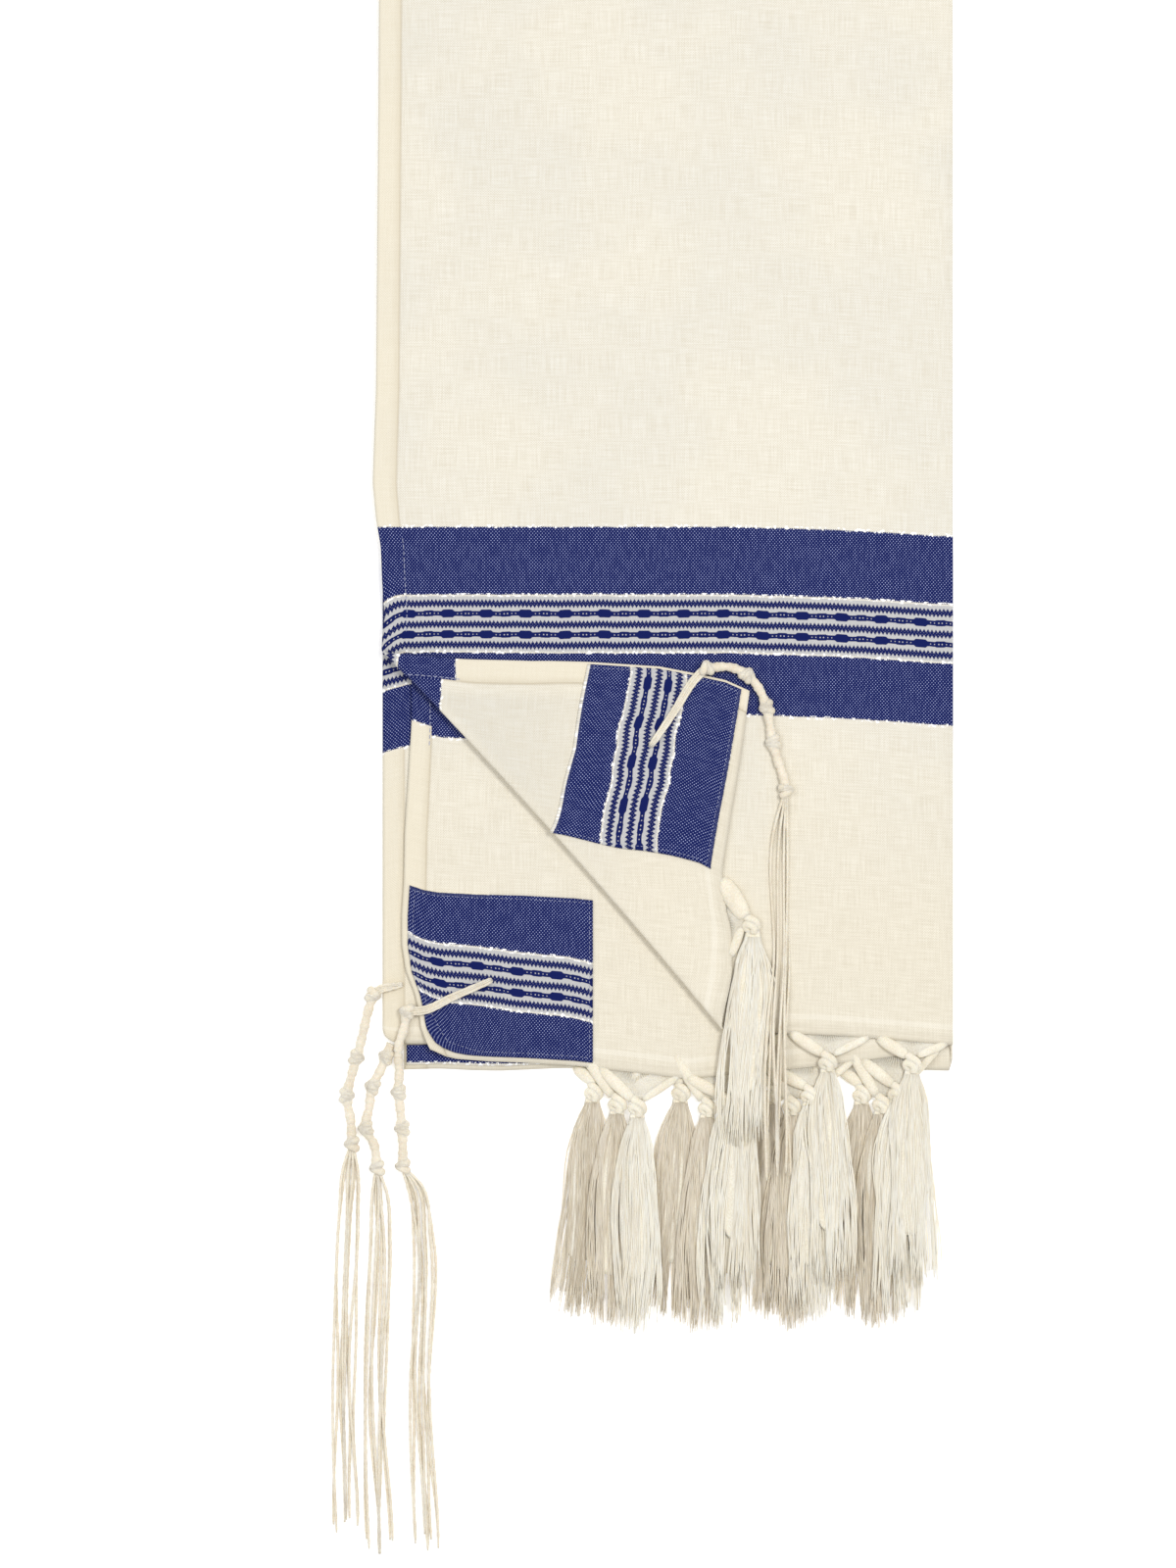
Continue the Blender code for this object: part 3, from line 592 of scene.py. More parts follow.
def cream_weave(n, u, v, tone, plain, hems):
    """Colour of the plain cream cloth, with its hems and the open rows at its end, and with painted light
    and shade: warmer light towards the end, grey shade further up, shade on the turned flap, shading and a
    shadow line on the hem strips, and shadow in the open rows' holes.
    """
    # Painted warm light, stronger towards the cloth's end
    cream = n.mix(n.times(n.step(240.0, 40.0, v), 0.8), CREAM, CREAM_PAINTED_WARM_LIGHT)
    # Painted grey shade in soft patches, only further up the cloth
    cloud = n.times(n.step(0.35, 0.65, n.cloud(u, v, 0.012, 0.012)), n.step(40.0, 190.0, v))
    cream = n.mix(n.times(cloud, 0.45), cream, CREAM_PAINTED_GREY_SHADE)
    # Painted shade over the turned flap's upper part, past its fold
    past = n.plus(n.times(n.minus(u, CORNER_FOLD_U), TOWARD_U), n.times(v, TOWARD_V))
    flap = n.times(n.step(3.0, 12.0, past), n.step(13.0, 22.0, u))
    flap = n.times(flap, n.step(30.0, 150.0, v))
    cream = n.mix(n.times(flap, 0.8), cream, FLAP_PAINTED_SHADE)
    cream = n.mix(n.times(n.step(0.92, 0.20, tone), 0.75), cream, CREAM_SHADE)
    if hems:
        inward = n.math("MINIMUM", u, n.minus(ACROSS, u))
        strip = n.step(HEM_WIDTH + 0.2, HEM_WIDTH - 0.2, inward)
        # Hem strips take their own tone, darkened partly as painted shade
        cream = n.mix(n.times(strip, 0.6), cream, HEM_TINT_AND_SHADE)
        # Painted shade: the hem strip darkens towards its inner edge, with a painted shadow line just past
        # it
        shade = n.times(n.step(HEM_WIDTH - 4.5, HEM_WIDTH, inward), strip)
        line = n.step(0.9, 0.1, n.apart(inward, HEM_WIDTH + 0.2))
        cream = n.mix(n.plus(n.times(shade, 0.22), n.times(line, 0.40)), cream, HEM_PAINTED_SHADOW)
    # The holes of the open rows are painted dark, as the shadow seen through them
    open_end = n.times(n.step(6.5, 4.5, v), n.step(0.1, 0.9, plain))
    cream = n.mix(n.times(open_end, 0.5), cream, HOLE_SHADOW)
    dense = n.times(n.step(7.6, 8.2, v), n.step(11.0, 10.4, v))
    return n.mix(n.times(dense, 0.35), cream, DENSE_ROW)


def cloth_material(name, hems=True):
    """Plain cream weave with blue weft bands, zigzag and chain rows and silver flecks painted pure white,
    partly as painted glints; the cream carries painted light and shade.
    """
    n = Nodes(name)
    u, v = n.weave()
    waver = n.times(n.minus(n.cloud(u, v, 0.09, 0.0), 0.5), WAVER)
    tooth = n.times(n.ripple(u, TOOTH_PITCH, "SINE"), TOOTH)
    band_v = n.plus(n.plus(v, tooth), waver)
    figure_v = n.plus(v, waver)

    blue_mask = n.fold("MAXIMUM", [between(n, span, band_v) for span in (BLUE_HIGH, BLUE_LOW)])
    dots = n.times(n.ripple(u, DOT_ACROSS), n.ripple(v, DOT_ALONG))
    streaks = n.step(0.38, 0.62, n.cloud(u, v, 0.6, 0.13))
    dotted = n.times(n.step(0.50, 0.90, dots), n.plus(0.5, n.times(streaks, 0.6)))
    pattern_mask = between(n, PATTERN, band_v)
    rows = [zigzag(n, u, figure_v, centre, dots) for centre in ZIGZAGS]
    rows += [chain(n, u, figure_v, centre) for centre in CHAINS]
    rows = n.times(n.fold("MAXIMUM", rows), pattern_mask)

    uneven = n.plus(n.cloud(u, v, 0.07, 1.5), n.cloud(u, v, 1.5, 0.06))
    plain = n.times(n.ripple(u, THREAD_PITCH), n.ripple(v, THREAD_PITCH))
    tone = n.plus(n.times(plain, 0.24), n.times(uneven, 0.56))
    cream = cream_weave(n, u, v, tone, plain, hems)
    light = n.mix(n.step(0.5, 0.1, tone), STRIPE, STRIPE_LIGHT)
    colour = n.mix(pattern_mask, cream, light)
    colour = n.mix(blue_mask, colour, n.mix(dotted, BLUE, BLUE_DOT))
    colour = n.mix(rows, colour, BLUE)

    nearest = n.fold("MINIMUM", [n.apart(figure_v, silver) for silver in SILVER_LINES])
    colour = n.mix(n.times(n.step(0.7, 0.3, nearest), 0.15), colour, STRIPE_LIGHT)
    # Silver flecks along the bands' edges, painted pure white partly as painted glints
    flecks = n.step(0.56, 0.59, n.cloud(u, v, 0.5, 0.5, 1.0))
    shine = n.times(n.step(1.15, 0.8, nearest), flecks)
    colour = n.mix(shine, colour, SILVER_GLINT)

    ribs = n.plus(n.times(plain, 0.5), n.times(uneven, 0.8))
    raised = n.times(n.math("MAXIMUM", rows, n.times(dotted, blue_mask)), 0.5)
    roughness = n.minus(0.9, n.times(shine, 0.62))
    return n.finish(colour, roughness, n.plus(ribs, raised), bump=0.5, depth=0.00022)


def yarn_material(name, light, dark, grain=1500.0, stretch=14.0):
    """Soft wool yarn with fine streaks along Y, slightly uneven in tone."""
    n = Nodes(name)
    parts = n.add("SeparateXYZ")
    n.put(parts.inputs[0], n.add("TexCoord").outputs["Object"])
    where = n.vector(parts.outputs[0], n.math("DIVIDE", parts.outputs[1], stretch), parts.outputs[2])
    fine = n.noise(where, grain, 3.0)
    tone = n.plus(n.times(fine, 0.7), n.times(n.noise(where, 110.0), 0.4))
    material = n.finish(n.mix(n.step(0.70, 0.36, tone), light, dark), 0.85, fine, depth=0.0003)
    n.set("Sheen Weight", 0.2)
    n.set("Subsurface Weight", 0.25)
    n.set("Subsurface Radius", (0.002, 0.0016, 0.0011))
    n.set("Subsurface Scale", 1.0)
    return material


def half_wall(u, v):
    return np.full(len(u), WALL / 2)


def hem_half(u, v):
    """Distance of the wrong side, with the hem's turned-in strip and its rounded edge."""
    inward = np.minimum(u, ACROSS - u)
    return -(WALL / 2 + HEM_EXTRA * smooth((HEM_WIDTH + 0.25 - inward) / 0.7))


def cloth_weave(u, v, face_u, wrong):
    """Weave place of the top and inner layers; the hem strips are folded a little askew."""
    hem_top = wrong & (face_u < HEM_WIDTH)
    hem_inner = wrong & (face_u > ACROSS - HEM_WIDTH)
    run_down = 8.0 * np.clip(1 - u / 13, 0, 1) ** 2 * smooth((232 - v) / 24) * ~wrong
    return u, v + run_down + np.where(hem_top, 9.0, 0.0) - np.where(hem_inner, 5.0, 0.0)


def lower_weave(u, v, face_u, wrong):
    """Weave place of the third and bottom layers; the third one's bands slope at its edge."""
    slope = 13.6 - 0.28 * np.minimum(u, 22)
    return u, v + np.where(u <= LOWER_START, slope * smooth(v / 30), 0.0)


def patch_round(inward, v):
    """Flat place on the inner layer's patch, with its outer corner swept in."""
    low_u, low_v = PATCH_INNER_START
    sweep_u, sweep_v = PATCH_INNER_SWEEP
    du = sweep(sweep_u, v - low_v, 12, inward - low_u, 40)
    dv = sweep(sweep_v, inward - low_u, 26, v - low_v, 40)
    return ACROSS - inward - du, v + dv


def turned_patch_spot(across, along):
    """Flat place on the turned corner's patch, for shares across and along it."""
    low_u = PATCH_TURNED_START[0] + across * (PATCH_TURNED_CORNER[0] - PATCH_TURNED_START[0])
    low_v = PATCH_TURNED_START[1] + across * (PATCH_TURNED_CORNER[1] - PATCH_TURNED_START[1])
    first, last = PATCH_TURNED_EDGE[0], PATCH_TURNED_EDGE[-1]
    high_u = first[0] + across * (last[0] - first[0])
    high_v = table(PATCH_TURNED_EDGE, high_u)
    return low_u + along * (high_u - low_u), low_v + along * (high_v - low_v)


def no_lift(u, v):
    return np.zeros(len(u))


def cloth_pieces(material, patch_material):
    """The cloth shells and the patches on them."""
    bend = CORNER_FOLD_BEND
    cuts = list(np.linspace(0, bend, 11)) + list(bend + CORNER_SETTLE * np.linspace(0.08, 1.0, 10))
    columns = spaced(0, (HEM_WIDTH - 0.5, 1.6), (HEM_WIDTH + 0.3, 0.4), (198, 2.5), (BEND_START, 5),
                     (BEND_END, math.pi * BEND_RADIUS / 8), (ACROSS - 200, 12),
                     (ACROSS - HEM_WIDTH - 0.3, 3.4), (ACROSS - HEM_WIDTH + 0.5, 0.4), (ACROSS, 1.6))
    rows = spaced(0, (345, 2.4), (LENGTH, 14), (LENGTH + math.pi * NOSE_RADIUS, 0.9))
    cloth = shell("shawl_upper", net_of(columns, rows, cuts), place, lift, half_wall, hem_half,
                  cloth_weave, material)
    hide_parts("cloth_upper")
    columns = spaced(0, (24, 2.0), (LOWER_START, 14), (LOWER_END, math.pi * LOWER_BEND / 8),
                     (LOWER_ACROSS - 24, 14), (LOWER_ACROSS, 2.0))
    rows = spaced(0, (330, 3.0), (LOWER_LENGTH, 20))
    lower = shell("shawl_lower", net_of(columns, rows), place_lower, no_lift, half_wall,
                  lambda u, v: -half_wall(u, v), lower_weave, material)
    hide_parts("cloth_lower_layers")

    def inner_spot(u, v):
        return place(*patch_round(ACROSS - u, v))

    def inner_lift(u, v):
        return lift(*patch_round(ACROSS - u, v))

    def on_wrong_side(extra):
        return lambda u, v: hem_half(u, v) - SEAM_GAP * 0.4 - extra

    def turned_weave(u, v, face_u, wrong):
        across = u / PATCH_ACROSS
        low = 4.5 + 2.3 * across
        along = (v - low) / (table(PATCH_TURNED_EDGE, u) - low)
        place_v = 171.8 + 3.2 * across + 86 * along + 0.8 * np.sin(u / 8) + 0.3 * np.sin(u / 3.1)
        place_v = np.where(along < EDGE_ROW, SILVER_LINES[-1], place_v)
        return u + 4, np.where(along > 1 - 2 * EDGE_ROW, SILVER_LINES[0], place_v)

    def inner_weave(u, v, face_u, wrong):
        inward = ACROSS - u
        place_v = v + 171 + 7.5 * inward / PATCH_ACROSS + 0.35 * np.sin(u / 7)
        return u + 3, np.where((v > PATCH_ALONG - 0.5) & (inward < 46), SILVER_LINES[0], place_v)

    cuts = [c for c in cuts if c < bend + CORNER_SETTLE]
    net = net_of(np.linspace(0, 1, 61), np.linspace(0, 1, 55), cuts, turned_patch_spot)
    turned_patch = shell("corner_patch_turned", net, place, lift, on_wrong_side(0.0),
                         on_wrong_side(PATCH_THICK), turned_weave, patch_material)
    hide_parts("patch_turned")
    columns = spaced(ACROSS - 101, (ACROSS - HEM_WIDTH - 0.3, 1.6), (ACROSS - HEM_WIDTH + 0.5, 0.4),
                     (ACROSS - PATCH_INNER_START[0], 1.6))
    net = net_of(columns, spaced(PATCH_INNER_START[1], (PATCH_ALONG, 1.6)))
    inner_patch = shell("corner_patch_inner", net, inner_spot, inner_lift, on_wrong_side(0.0),
                        on_wrong_side(PATCH_THICK), inner_weave, patch_material)
    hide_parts("patch_inner")

    def bottom_spot(u, v):
        spot = place_lower(LOWER_ACROSS - u, v)
        spot[..., 2] = 2.0 + 0.25 * np.sin(spot[..., 0] / 9)
        return spot

    net = net_of(spaced(1.5, (98, 2.0)), spaced(2.5, (13, 1.6)))
    bottom_patch = shell("corner_patch_bottom", net, bottom_spot, no_lift,
                         lambda u, v: -half_wall(u, v) * 0.75, lambda u, v: half_wall(u, v) * 0.75,
                         lambda u, v, face_u, wrong: (u, v + 166.2), patch_material)
    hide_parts("patch_bottom")
    return cloth, lower, turned_patch, inner_patch, bottom_patch


def tubes(paths, radius, sides=4, flatten=1.0, plies=0, twist=0.0, depth=0.16):
    """Points and quads of closed tubes along paths (k, n, 3) with radii (k, n)."""
    paths = np.asarray(paths, float)
    k, n, _ = paths.shape
    radius = np.broadcast_to(np.asarray(radius, float), (k, n))
    run = np.gradient(paths, axis=1)
    run /= np.linalg.norm(run, axis=2, keepdims=True) + 1e-9
    up = np.zeros_like(run)
    up[..., 2] = 1
    side = np.cross(run, up)
    weak = np.linalg.norm(side, axis=2, keepdims=True) < 1e-3
    side = np.where(weak, [1.0, 0, 0], side)
    side /= np.linalg.norm(side, axis=2, keepdims=True)
    over = np.cross(side, run)
    angle = np.arange(sides) * 2 * math.pi / sides + math.pi / 4
    steps = np.linalg.norm(np.diff(paths, axis=1), axis=2)
    along = np.concatenate([np.zeros((k, 1)), np.cumsum(steps, axis=1)], axis=1)
    swell = 1 + (depth * np.cos(plies * angle[None, None, :] - twist * along[..., None]) if plies else 0.0)
    ring = radius[..., None] * swell
    points = (paths[:, :, None, :] + side[:, :, None, :] * (ring * np.cos(angle))[..., None]
              + over[:, :, None, :] * (ring * np.sin(angle) * flatten)[..., None])
    start = np.arange(k)[:, None, None] * n * sides + np.arange(n - 1)[None, :, None] * sides
    i = np.arange(sides)[None, None, :]
    j = (i + 1) % sides
    quads = np.stack([start + i, start + sides + i, start + sides + j, start + j], axis=-1).reshape(-1, 4)
    caps = []
    for first in np.arange(k) * n * sides:
        last = first + (n - 1) * sides
        for a in range(1, sides - 2, 2):
            caps.append([first, first + a, first + a + 1, first + a + 2])
            caps.append([last, last + a + 2, last + a + 1, last + a])
    return points.reshape(-1, 3), np.concatenate([quads, np.array(caps)])


def joined(parts):
    """One set of points and quads from several."""
    points, faces, count = [], [], 0
    for some, quads in parts:
        points.append(some)
        faces.append(quads + count)
        count += len(some)
    return np.concatenate(points), np.concatenate(faces)


def travelled(path):
    """Length along a path up to each of its points."""
    return np.concatenate([[0], np.cumsum(np.linalg.norm(np.diff(path, axis=0), axis=1))])


def curve_through(spots, count):
    """Smooth path of count points through a few spots."""
    spots = np.asarray(spots, float)
    along = travelled(spots[:, :3])
    at = np.linspace(0, along[-1], count)
    slope = np.gradient(spots, along, axis=0)
    index = np.clip(np.searchsorted(along, at, side="right") - 1, 0, len(spots) - 2)
    span = (along[index + 1] - along[index])[:, None]
    t = ((at - along[index])[:, None]) / span
    h = (2 * t ** 3 - 3 * t ** 2 + 1, t ** 3 - 2 * t ** 2 + t, -2 * t ** 3 + 3 * t ** 2, t ** 3 - t ** 2)
    start, end = index, index + 1
    return h[0] * spots[start] + h[1] * span * slope[start] + h[2] * spots[end] + h[3] * span * slope[end]


UP = np.array([0.0, 0.0, 1.0])
FLOOR_GAP = 0.15

# Tassels: heights and places, as the solids have them
TASSEL_LAYERS = {
    # layer: (z, half height)
    "top": (8.3, 1.1), "inner": (5.7, 1.1), "third": (3.25, 0.95), "bottom": (1.15, 0.85),
}
TASSELS = (
    # layer, number, middle of the bunch from the left edge, half bunch, knot x, knot y, end x
    ("top", 2, 204.0, 12.0, 82.0, -153.5, 79.0),
    ("top", 3, 240.0, 23.0, 128.4, -149.0, 131.0),
    ("top", 4, 284.5, 20.0, 173.6, -150.0, 173.0),
    ("inner", 1, 125.5, 23.0, 26.5, -173.6, 25.0),
    ("inner", 2, 172.5, 23.0, 73.6, -171.0, 73.0),
    ("inner", 3, 219.5, 23.0, 119.0, -167.0, 120.0),
    ("inner", 4, 266.5, 23.0, 166.0, -166.0, 165.0),
    ("third", 1, 126.0, 23.0, 15.8, -172.0, 10.0),
    ("third", 2, 174.5, 23.0, 64.2, -174.0, 60.0),
    ("third", 3, 222.5, 23.0, 109.5, -173.0, 108.0),
    ("third", 4, 270.5, 23.0, 157.8, -172.0, 156.0),
    ("bottom", 1, 113.0, 23.0, 3.0, -166.0, -7.0),
    ("bottom", 2, 160.0, 23.0, 50.0, -166.0, 44.0),
    ("bottom", 3, 207.5, 23.0, 100.0, -167.0, 96.0),
    ("bottom", 4, 255.0, 23.0, 147.5, -167.0, 145.0),
)


# Highest point of a tassel that lies under another one
CEILINGS = {"top_2": 9.7}
KNOT_TURN = (
    # aside, down, up, radius
    (-2.6, -5.0, 0.3, 2.0), (-0.4, -3.0, 1.2, 2.4), (2.2, -0.9, 1.3, 2.5), (2.8, 1.4, 0.1, 2.4),
    (0.8, 2.6, -0.6, 2.2), (-2.1, 2.0, -0.4, 2.2), (-2.9, 0.1, 0.5, 2.3), (-1.2, -0.5, 1.5, 2.3),
    (1.0, 1.2, 1.7, 2.2), (0.9, 4.6, 0.6, 1.9),
)
# Outlines of a tassel's parts: share of the length, radius
ROPE_SHAPE = ((0, 0.5), (0.14, 0.88), (0.45, 1.0), (0.8, 0.9), (1, 0.72))
CORE_SHAPE = ((0, 2.8), (0.08, 3.6), (0.14, 4.8), (0.3, 8.2), (0.7, 9.2), (0.95, 6.5), (1, 2.0))
SKIRT_SHAPE = ((0, 3.4), (0.05, 5.6), (0.14, 8.4), (0.32, 10.8), (0.65, 11.8), (1, 11.2))
SKIRT_LEVELS = ((0, 1.3), (0.1, 1.2), (0.3, 0.95), (1, 0.85))
YARN_SHAPE = ((0, 0.46), (0.9, 0.40), (1, 0.2))
STRAND_SHAPE = ((0, 0.75), (0.97, 0.68), (1, 0.4))
CORE_LENGTH = 0.78
CORE_LEVEL = 0.5


def bunch_starts(layer, middle, half, count):
    """Where the warp ends of a bunch leave the cloth."""
    across = np.linspace(middle - half, middle + half, count)
    if layer in ("top", "turned"):
        return place(across, 0.4)
    if layer == "inner":
        return place(ACROSS - across, 0.4)
    if layer == "third":
        return place_lower(across, 0.4)
    return place_lower(LOWER_ACROSS - across, 0.4)


def web_parts(starts, neck, across, rise, ropes):
    """Fine warp ends that run together to the neck, between two ropes at their edges."""
    count = len(starts)
    spread = np.linspace(-1, 1, count)[:, None]
    gathered = neck + across * 3.0 * spread + UP * rise * 0.5 * np.cos(spread * 1.5)
    t = np.linspace(0, 1, 9)[None, :, None]
    pinch = t ** 0.85
    warps = starts[:, None, :] * (1 - pinch) + gathered[:, None, :] * pinch + UP * 0.5 * np.sin(math.pi * t)
    warps = warps + UP * 0.25 * np.sin(np.arange(count) * 2.3)[:, None, None] * t
    parts = [tubes(warps, 0.4, 4)]
    t = np.linspace(0, 1, 9)
    for edge, full in ((0, ropes[0]), (-1, ropes[1])):
        rope = warps[edge] + UP * 0.2
        rope = rope + (warps[count // 2] - rope) * 0.08
        radius = full * table(ROPE_SHAPE, t)
        parts.append(tubes(rope[None], radius[None, :], 20, 0.6, 7, 0.05, 0.02))
    return parts


def knot_parts(knot, fall, rise):
    """The bunch's own overhand turn round its neck, as one thick soft strand."""
    beside = np.array([-fall[1], fall[0], 0.0])
    rows = np.array(KNOT_TURN)
    spots = knot + beside * rows[:, :1] + fall * rows[:, 1:2] + UP * rows[:, 2:3] * rise
    path = curve_through(np.concatenate([spots, rows[:, 3:]], axis=1), 70)
    return [tubes(path[None, :, :3], path[None, :, 3], 20, 0.78, 7, 0.2, 0.02)]


def skirt_core(neck, knot, root, end, rise):
    """Body of the bunch under its outer yarns, from the neck to near the ends."""
    rows = np.linspace(0, 1, 7)[:, None]
    skirt = root + (end - root) * CORE_LENGTH * rows
    path = curve_through(np.concatenate([[neck, (neck + knot) / 2, knot], skirt]), 26)
    wide = table(CORE_SHAPE, np.linspace(0, 1, 26))
    points, faces = tubes(path[None], wide[None], 18, 1.0, 9, 0.15, 0.06)
    level = np.repeat(path[:, 2], 18)
    points[:, 2] = level + (points[:, 2] - level) * rise * CORE_LEVEL / np.repeat(wide, 18)
    return points, faces


def skirt_yarns(root, end, rise, chance):
    """Fine yarns of the skirt, in soft locks, and a few that stray."""
    locks, yarns, steps, strays = 10, 13, 15, 4
    total = locks * yarns + strays
    s = np.linspace(0, 1, steps)[None, :]
    lock = np.concatenate([np.repeat(np.arange(locks), yarns), [0, locks - 1, 2, locks - 3]])

    def draws(low, high, count=total):
        return np.array([chance.uniform(low, high) for _ in range(count)])

    a = (lock - (locks - 1) / 2) / (locks / 2) + draws(-0.13, 0.13)
    b = draws(-1, 1) * np.sqrt(np.clip(1.1 - a ** 2, 0.1, 1))
    phase = draws(0, 6.3)
    lock_phase = draws(0, 6.3, locks)[lock]
    lock_drift = draws(-1.6, 1.6, locks)[lock]
    longer = draws(-14, 6) - 6 * a ** 2
    stray = np.arange(total) >= locks * yarns
    shoulder = table(SKIRT_SHAPE, s)
    straight = end - root
    run = straight / np.linalg.norm(straight)
    level = np.array([-run[1], run[0], 0.0])
    line = root + run * ((np.linalg.norm(straight) + longer)[:, None] * s)[..., None]
    sway = 0.5 * np.sin(phase[:, None] + 8.5 * s) + 1.6 * np.sin(lock_phase[:, None] + 5.2 * s)
    straying = np.where(stray[:, None], 2.6 * np.sin(phase[:, None] + 5 * s), 0)
    sway = sway + lock_drift[:, None] * s + straying
    offset = a[:, None] * shoulder + sway * smooth(s * 4)
    height = b[:, None] * rise * table(SKIRT_LEVELS, s)
    paths = line + level * offset[..., None] + UP * height[..., None]
    return [tubes(paths, table(YARN_SHAPE, s), 4)]


def tassel(name, starts, knot, root, end, rise, materials, chance, ropes=(3.4, 2.3)):
    """Warp ends that run together to a knot and fall as a skirt of fine yarns."""
    knot, root, end = (np.array(p, float) for p in (knot, root, end))
    web = starts.mean(axis=0)
    inward = (knot - web) / np.linalg.norm(knot - web)
    neck = knot - inward * min(4.5, 0.5 * np.linalg.norm(knot - web))
    across = np.array([-(knot - web)[1], (knot - web)[0], 0.0])
    across /= np.linalg.norm(across)
    if np.dot(across, starts[-1] - starts[0]) < 0:
        across = -across
    parts = web_parts(starts, neck, across, rise, ropes)
    fall = (root - knot) / np.linalg.norm(root - knot)
    parts += knot_parts(knot, fall, rise)
    # The core takes the darker rope yarn, a painted shade between the skirt's yarns
    parts.append(skirt_core(neck, knot, root, end, rise))
    rope_and_core_shade_faces = sum(len(quads) for _, quads in parts)
    parts += skirt_yarns(root, end, rise, chance)
    points, faces = joined(parts)
    points[:, 2] = np.clip(points[:, 2], FLOOR_GAP, CEILINGS.get(name, math.inf))
    piece = make(f"yarns_{name}", points, faces, materials[0])
    piece.data.materials.append(materials[1])
    chosen = np.zeros(len(faces), int)
    chosen[:rope_and_core_shade_faces] = 1
    piece.data.polygons.foreach_set("material_index", chosen)
    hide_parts(f"tassel_{name}")
    return piece


def tassels(front, back_shaded, rope):
    """All tassels of the four layers."""
    chance = random.Random(7)
    pieces = []
    for layer, number, middle, half, knot_x, knot_y, end_x in TASSELS:
        lie_z, rise = TASSEL_LAYERS[layer]
        knot = (knot_x, knot_y, lie_z)
        root = (knot_x + (end_x - knot_x) * 0.05, knot_y - 5.5, lie_z)
        end = (end_x, knot_y - TASSEL_LENGTH, lie_z)
        starts = bunch_starts(layer, middle, half, 44 if half > 15 else 24)
        # Tassels of the lower layers take the painted-shade copy of the yarn
        yarn = front if layer in ("top", "inner") else back_shaded
        # The second yarn is the ropes' and knot's own, and painted shade on the skirt's core
        pieces.append(tassel(f"{layer}_{number}", starts, knot, root, end, rise, (yarn, rope), chance))
    starts = bunch_starts("turned", 123.0, 23.0, 44)
    pieces.append(tassel("top_1", starts, (87.4, -75.4, 8.8), (88.2, -82.0, 9.2), (82.0, -190.0, 10.9), 1.1,
                         (front, rope), chance, (5.2, 2.6)))
    return pieces


# Corner fringes, as the solids have them: wound cords with knots, then loose strands
FRINGES = {
    "top": (
        # x, y, z, kind
        (33.7, 20.5, 11.3, "loop"), (46.0, 38.5, 11.3, "loop"), (58.0, 57.0, 11.4, "loop"),
        (63.4, 62.2, 11.2, "knot"), (76.8, 62.4, 9.6, "cord"), (85.2, 58.6, 9.4, "knot"),
        (92.0, 50.5, 9.4, "cord"), (95.6, 41.0, 9.4, "knot"), (97.4, 32.0, 9.4, "cord"),
        (98.9, 22.6, 9.4, "knot"), (101.5, 13.5, 9.4, "cord"), (104.7, 3.5, 9.4, "cord"),
        (106.0, -3.5, 9.4, "knot"),
    ),
    "inner": (
        (-52.0, -105.2, 7.7, "loop"), (-72.0, -114.0, 7.7, "loop"), (-89.4, -121.6, 7.7, "loop"),
        (-97.2, -121.8, 6.3, "knot"), (-98.6, -130.8, 6.0, "cord"), (-101.5, -140.0, 5.8, "cord"),
        (-101.8, -147.3, 4.2, "cord"), (-101.4, -155.5, 2.9, "cord"), (-102.0, -165.7, FLOOR_CORD, "knot"),
        (-101.0, -174.7, FLOOR_CORD, "cord"), (-100.0, -185.2, FLOOR_CORD, "knot"),
        (-99.6, -194.0, FLOOR_CORD, "cord"), (-99.6, -205.5, FLOOR_CORD, "knot"),
    ),
    "third": (
        (-105.8, -139.8, 2.6, "loop"), (-108.6, -146.4, FLOOR_CORD, "knot"),
        (-111.6, -154.0, FLOOR_CORD, "cord"), (-116.0, -162.6, FLOOR_CORD, "knot"),
        (-117.6, -174.0, FLOOR_CORD, "cord"), (-119.6, -185.0, FLOOR_CORD, "knot"),
        (-115.0, -194.0, FLOOR_CORD, "cord"), (-113.4, -206.5, FLOOR_CORD, "knot"),
    ),
    "bottom": (
        (-99.8, -107.8, 4.5, "loop"), (-106.0, -109.0, 4.4, "loop"), (-111.5, -110.2, 4.0, "loop"),
        (-115.4, -113.4, FLOOR_CORD, "knot"), (-118.2, -122.0, FLOOR_CORD, "cord"),
        (-121.0, -134.0, FLOOR_CORD, "cord"), (-124.2, -147.0, FLOOR_CORD, "knot"),
        (-127.4, -157.5, FLOOR_CORD, "cord"), (-129.6, -167.4, FLOOR_CORD, "knot"),
        (-127.6, -181.0, FLOOR_CORD, "cord"), (-127.0, -193.6, FLOOR_CORD, "knot"),
    ),
}
LOOSE = {
    "top": (
        # x, y, z, half width
        (103.8, -22.0, 8.4, 3.9), (102.6, -100.0, 8.4, 4.2),
        (102.0, -125.0, 10.9, 4.4), (101.5, -208.0, 10.9, 5.0),
    ),
    "inner": (
        (-93.5, -216.0, 1.5, 3.6), (-88.5, -245.0, 1.5, 4.4),
        (-90.0, -320.0, 1.5, 5.0), (-86.0, -408.0, 1.5, 5.0),
    ),
    "third": (
        (-112.4, -219.0, 1.5, 3.6), (-112.0, -245.0, 1.5, 4.4),
        (-114.5, -320.0, 1.5, 5.0), (-112.0, -411.0, 1.5, 5.0),
    ),
    "bottom": (
        (-127.6, -206.0, 1.5, 3.2), (-129.0, -232.0, 1.5, 4.2),
        (-131.5, -310.0, 1.5, 5.0), (-130.0, -399.0, 1.5, 5.0),
    ),
}
PIERCED = {"top": (33.7, 20.5, 9.2), "inner": (-52.0, -105.2, 5.6)}


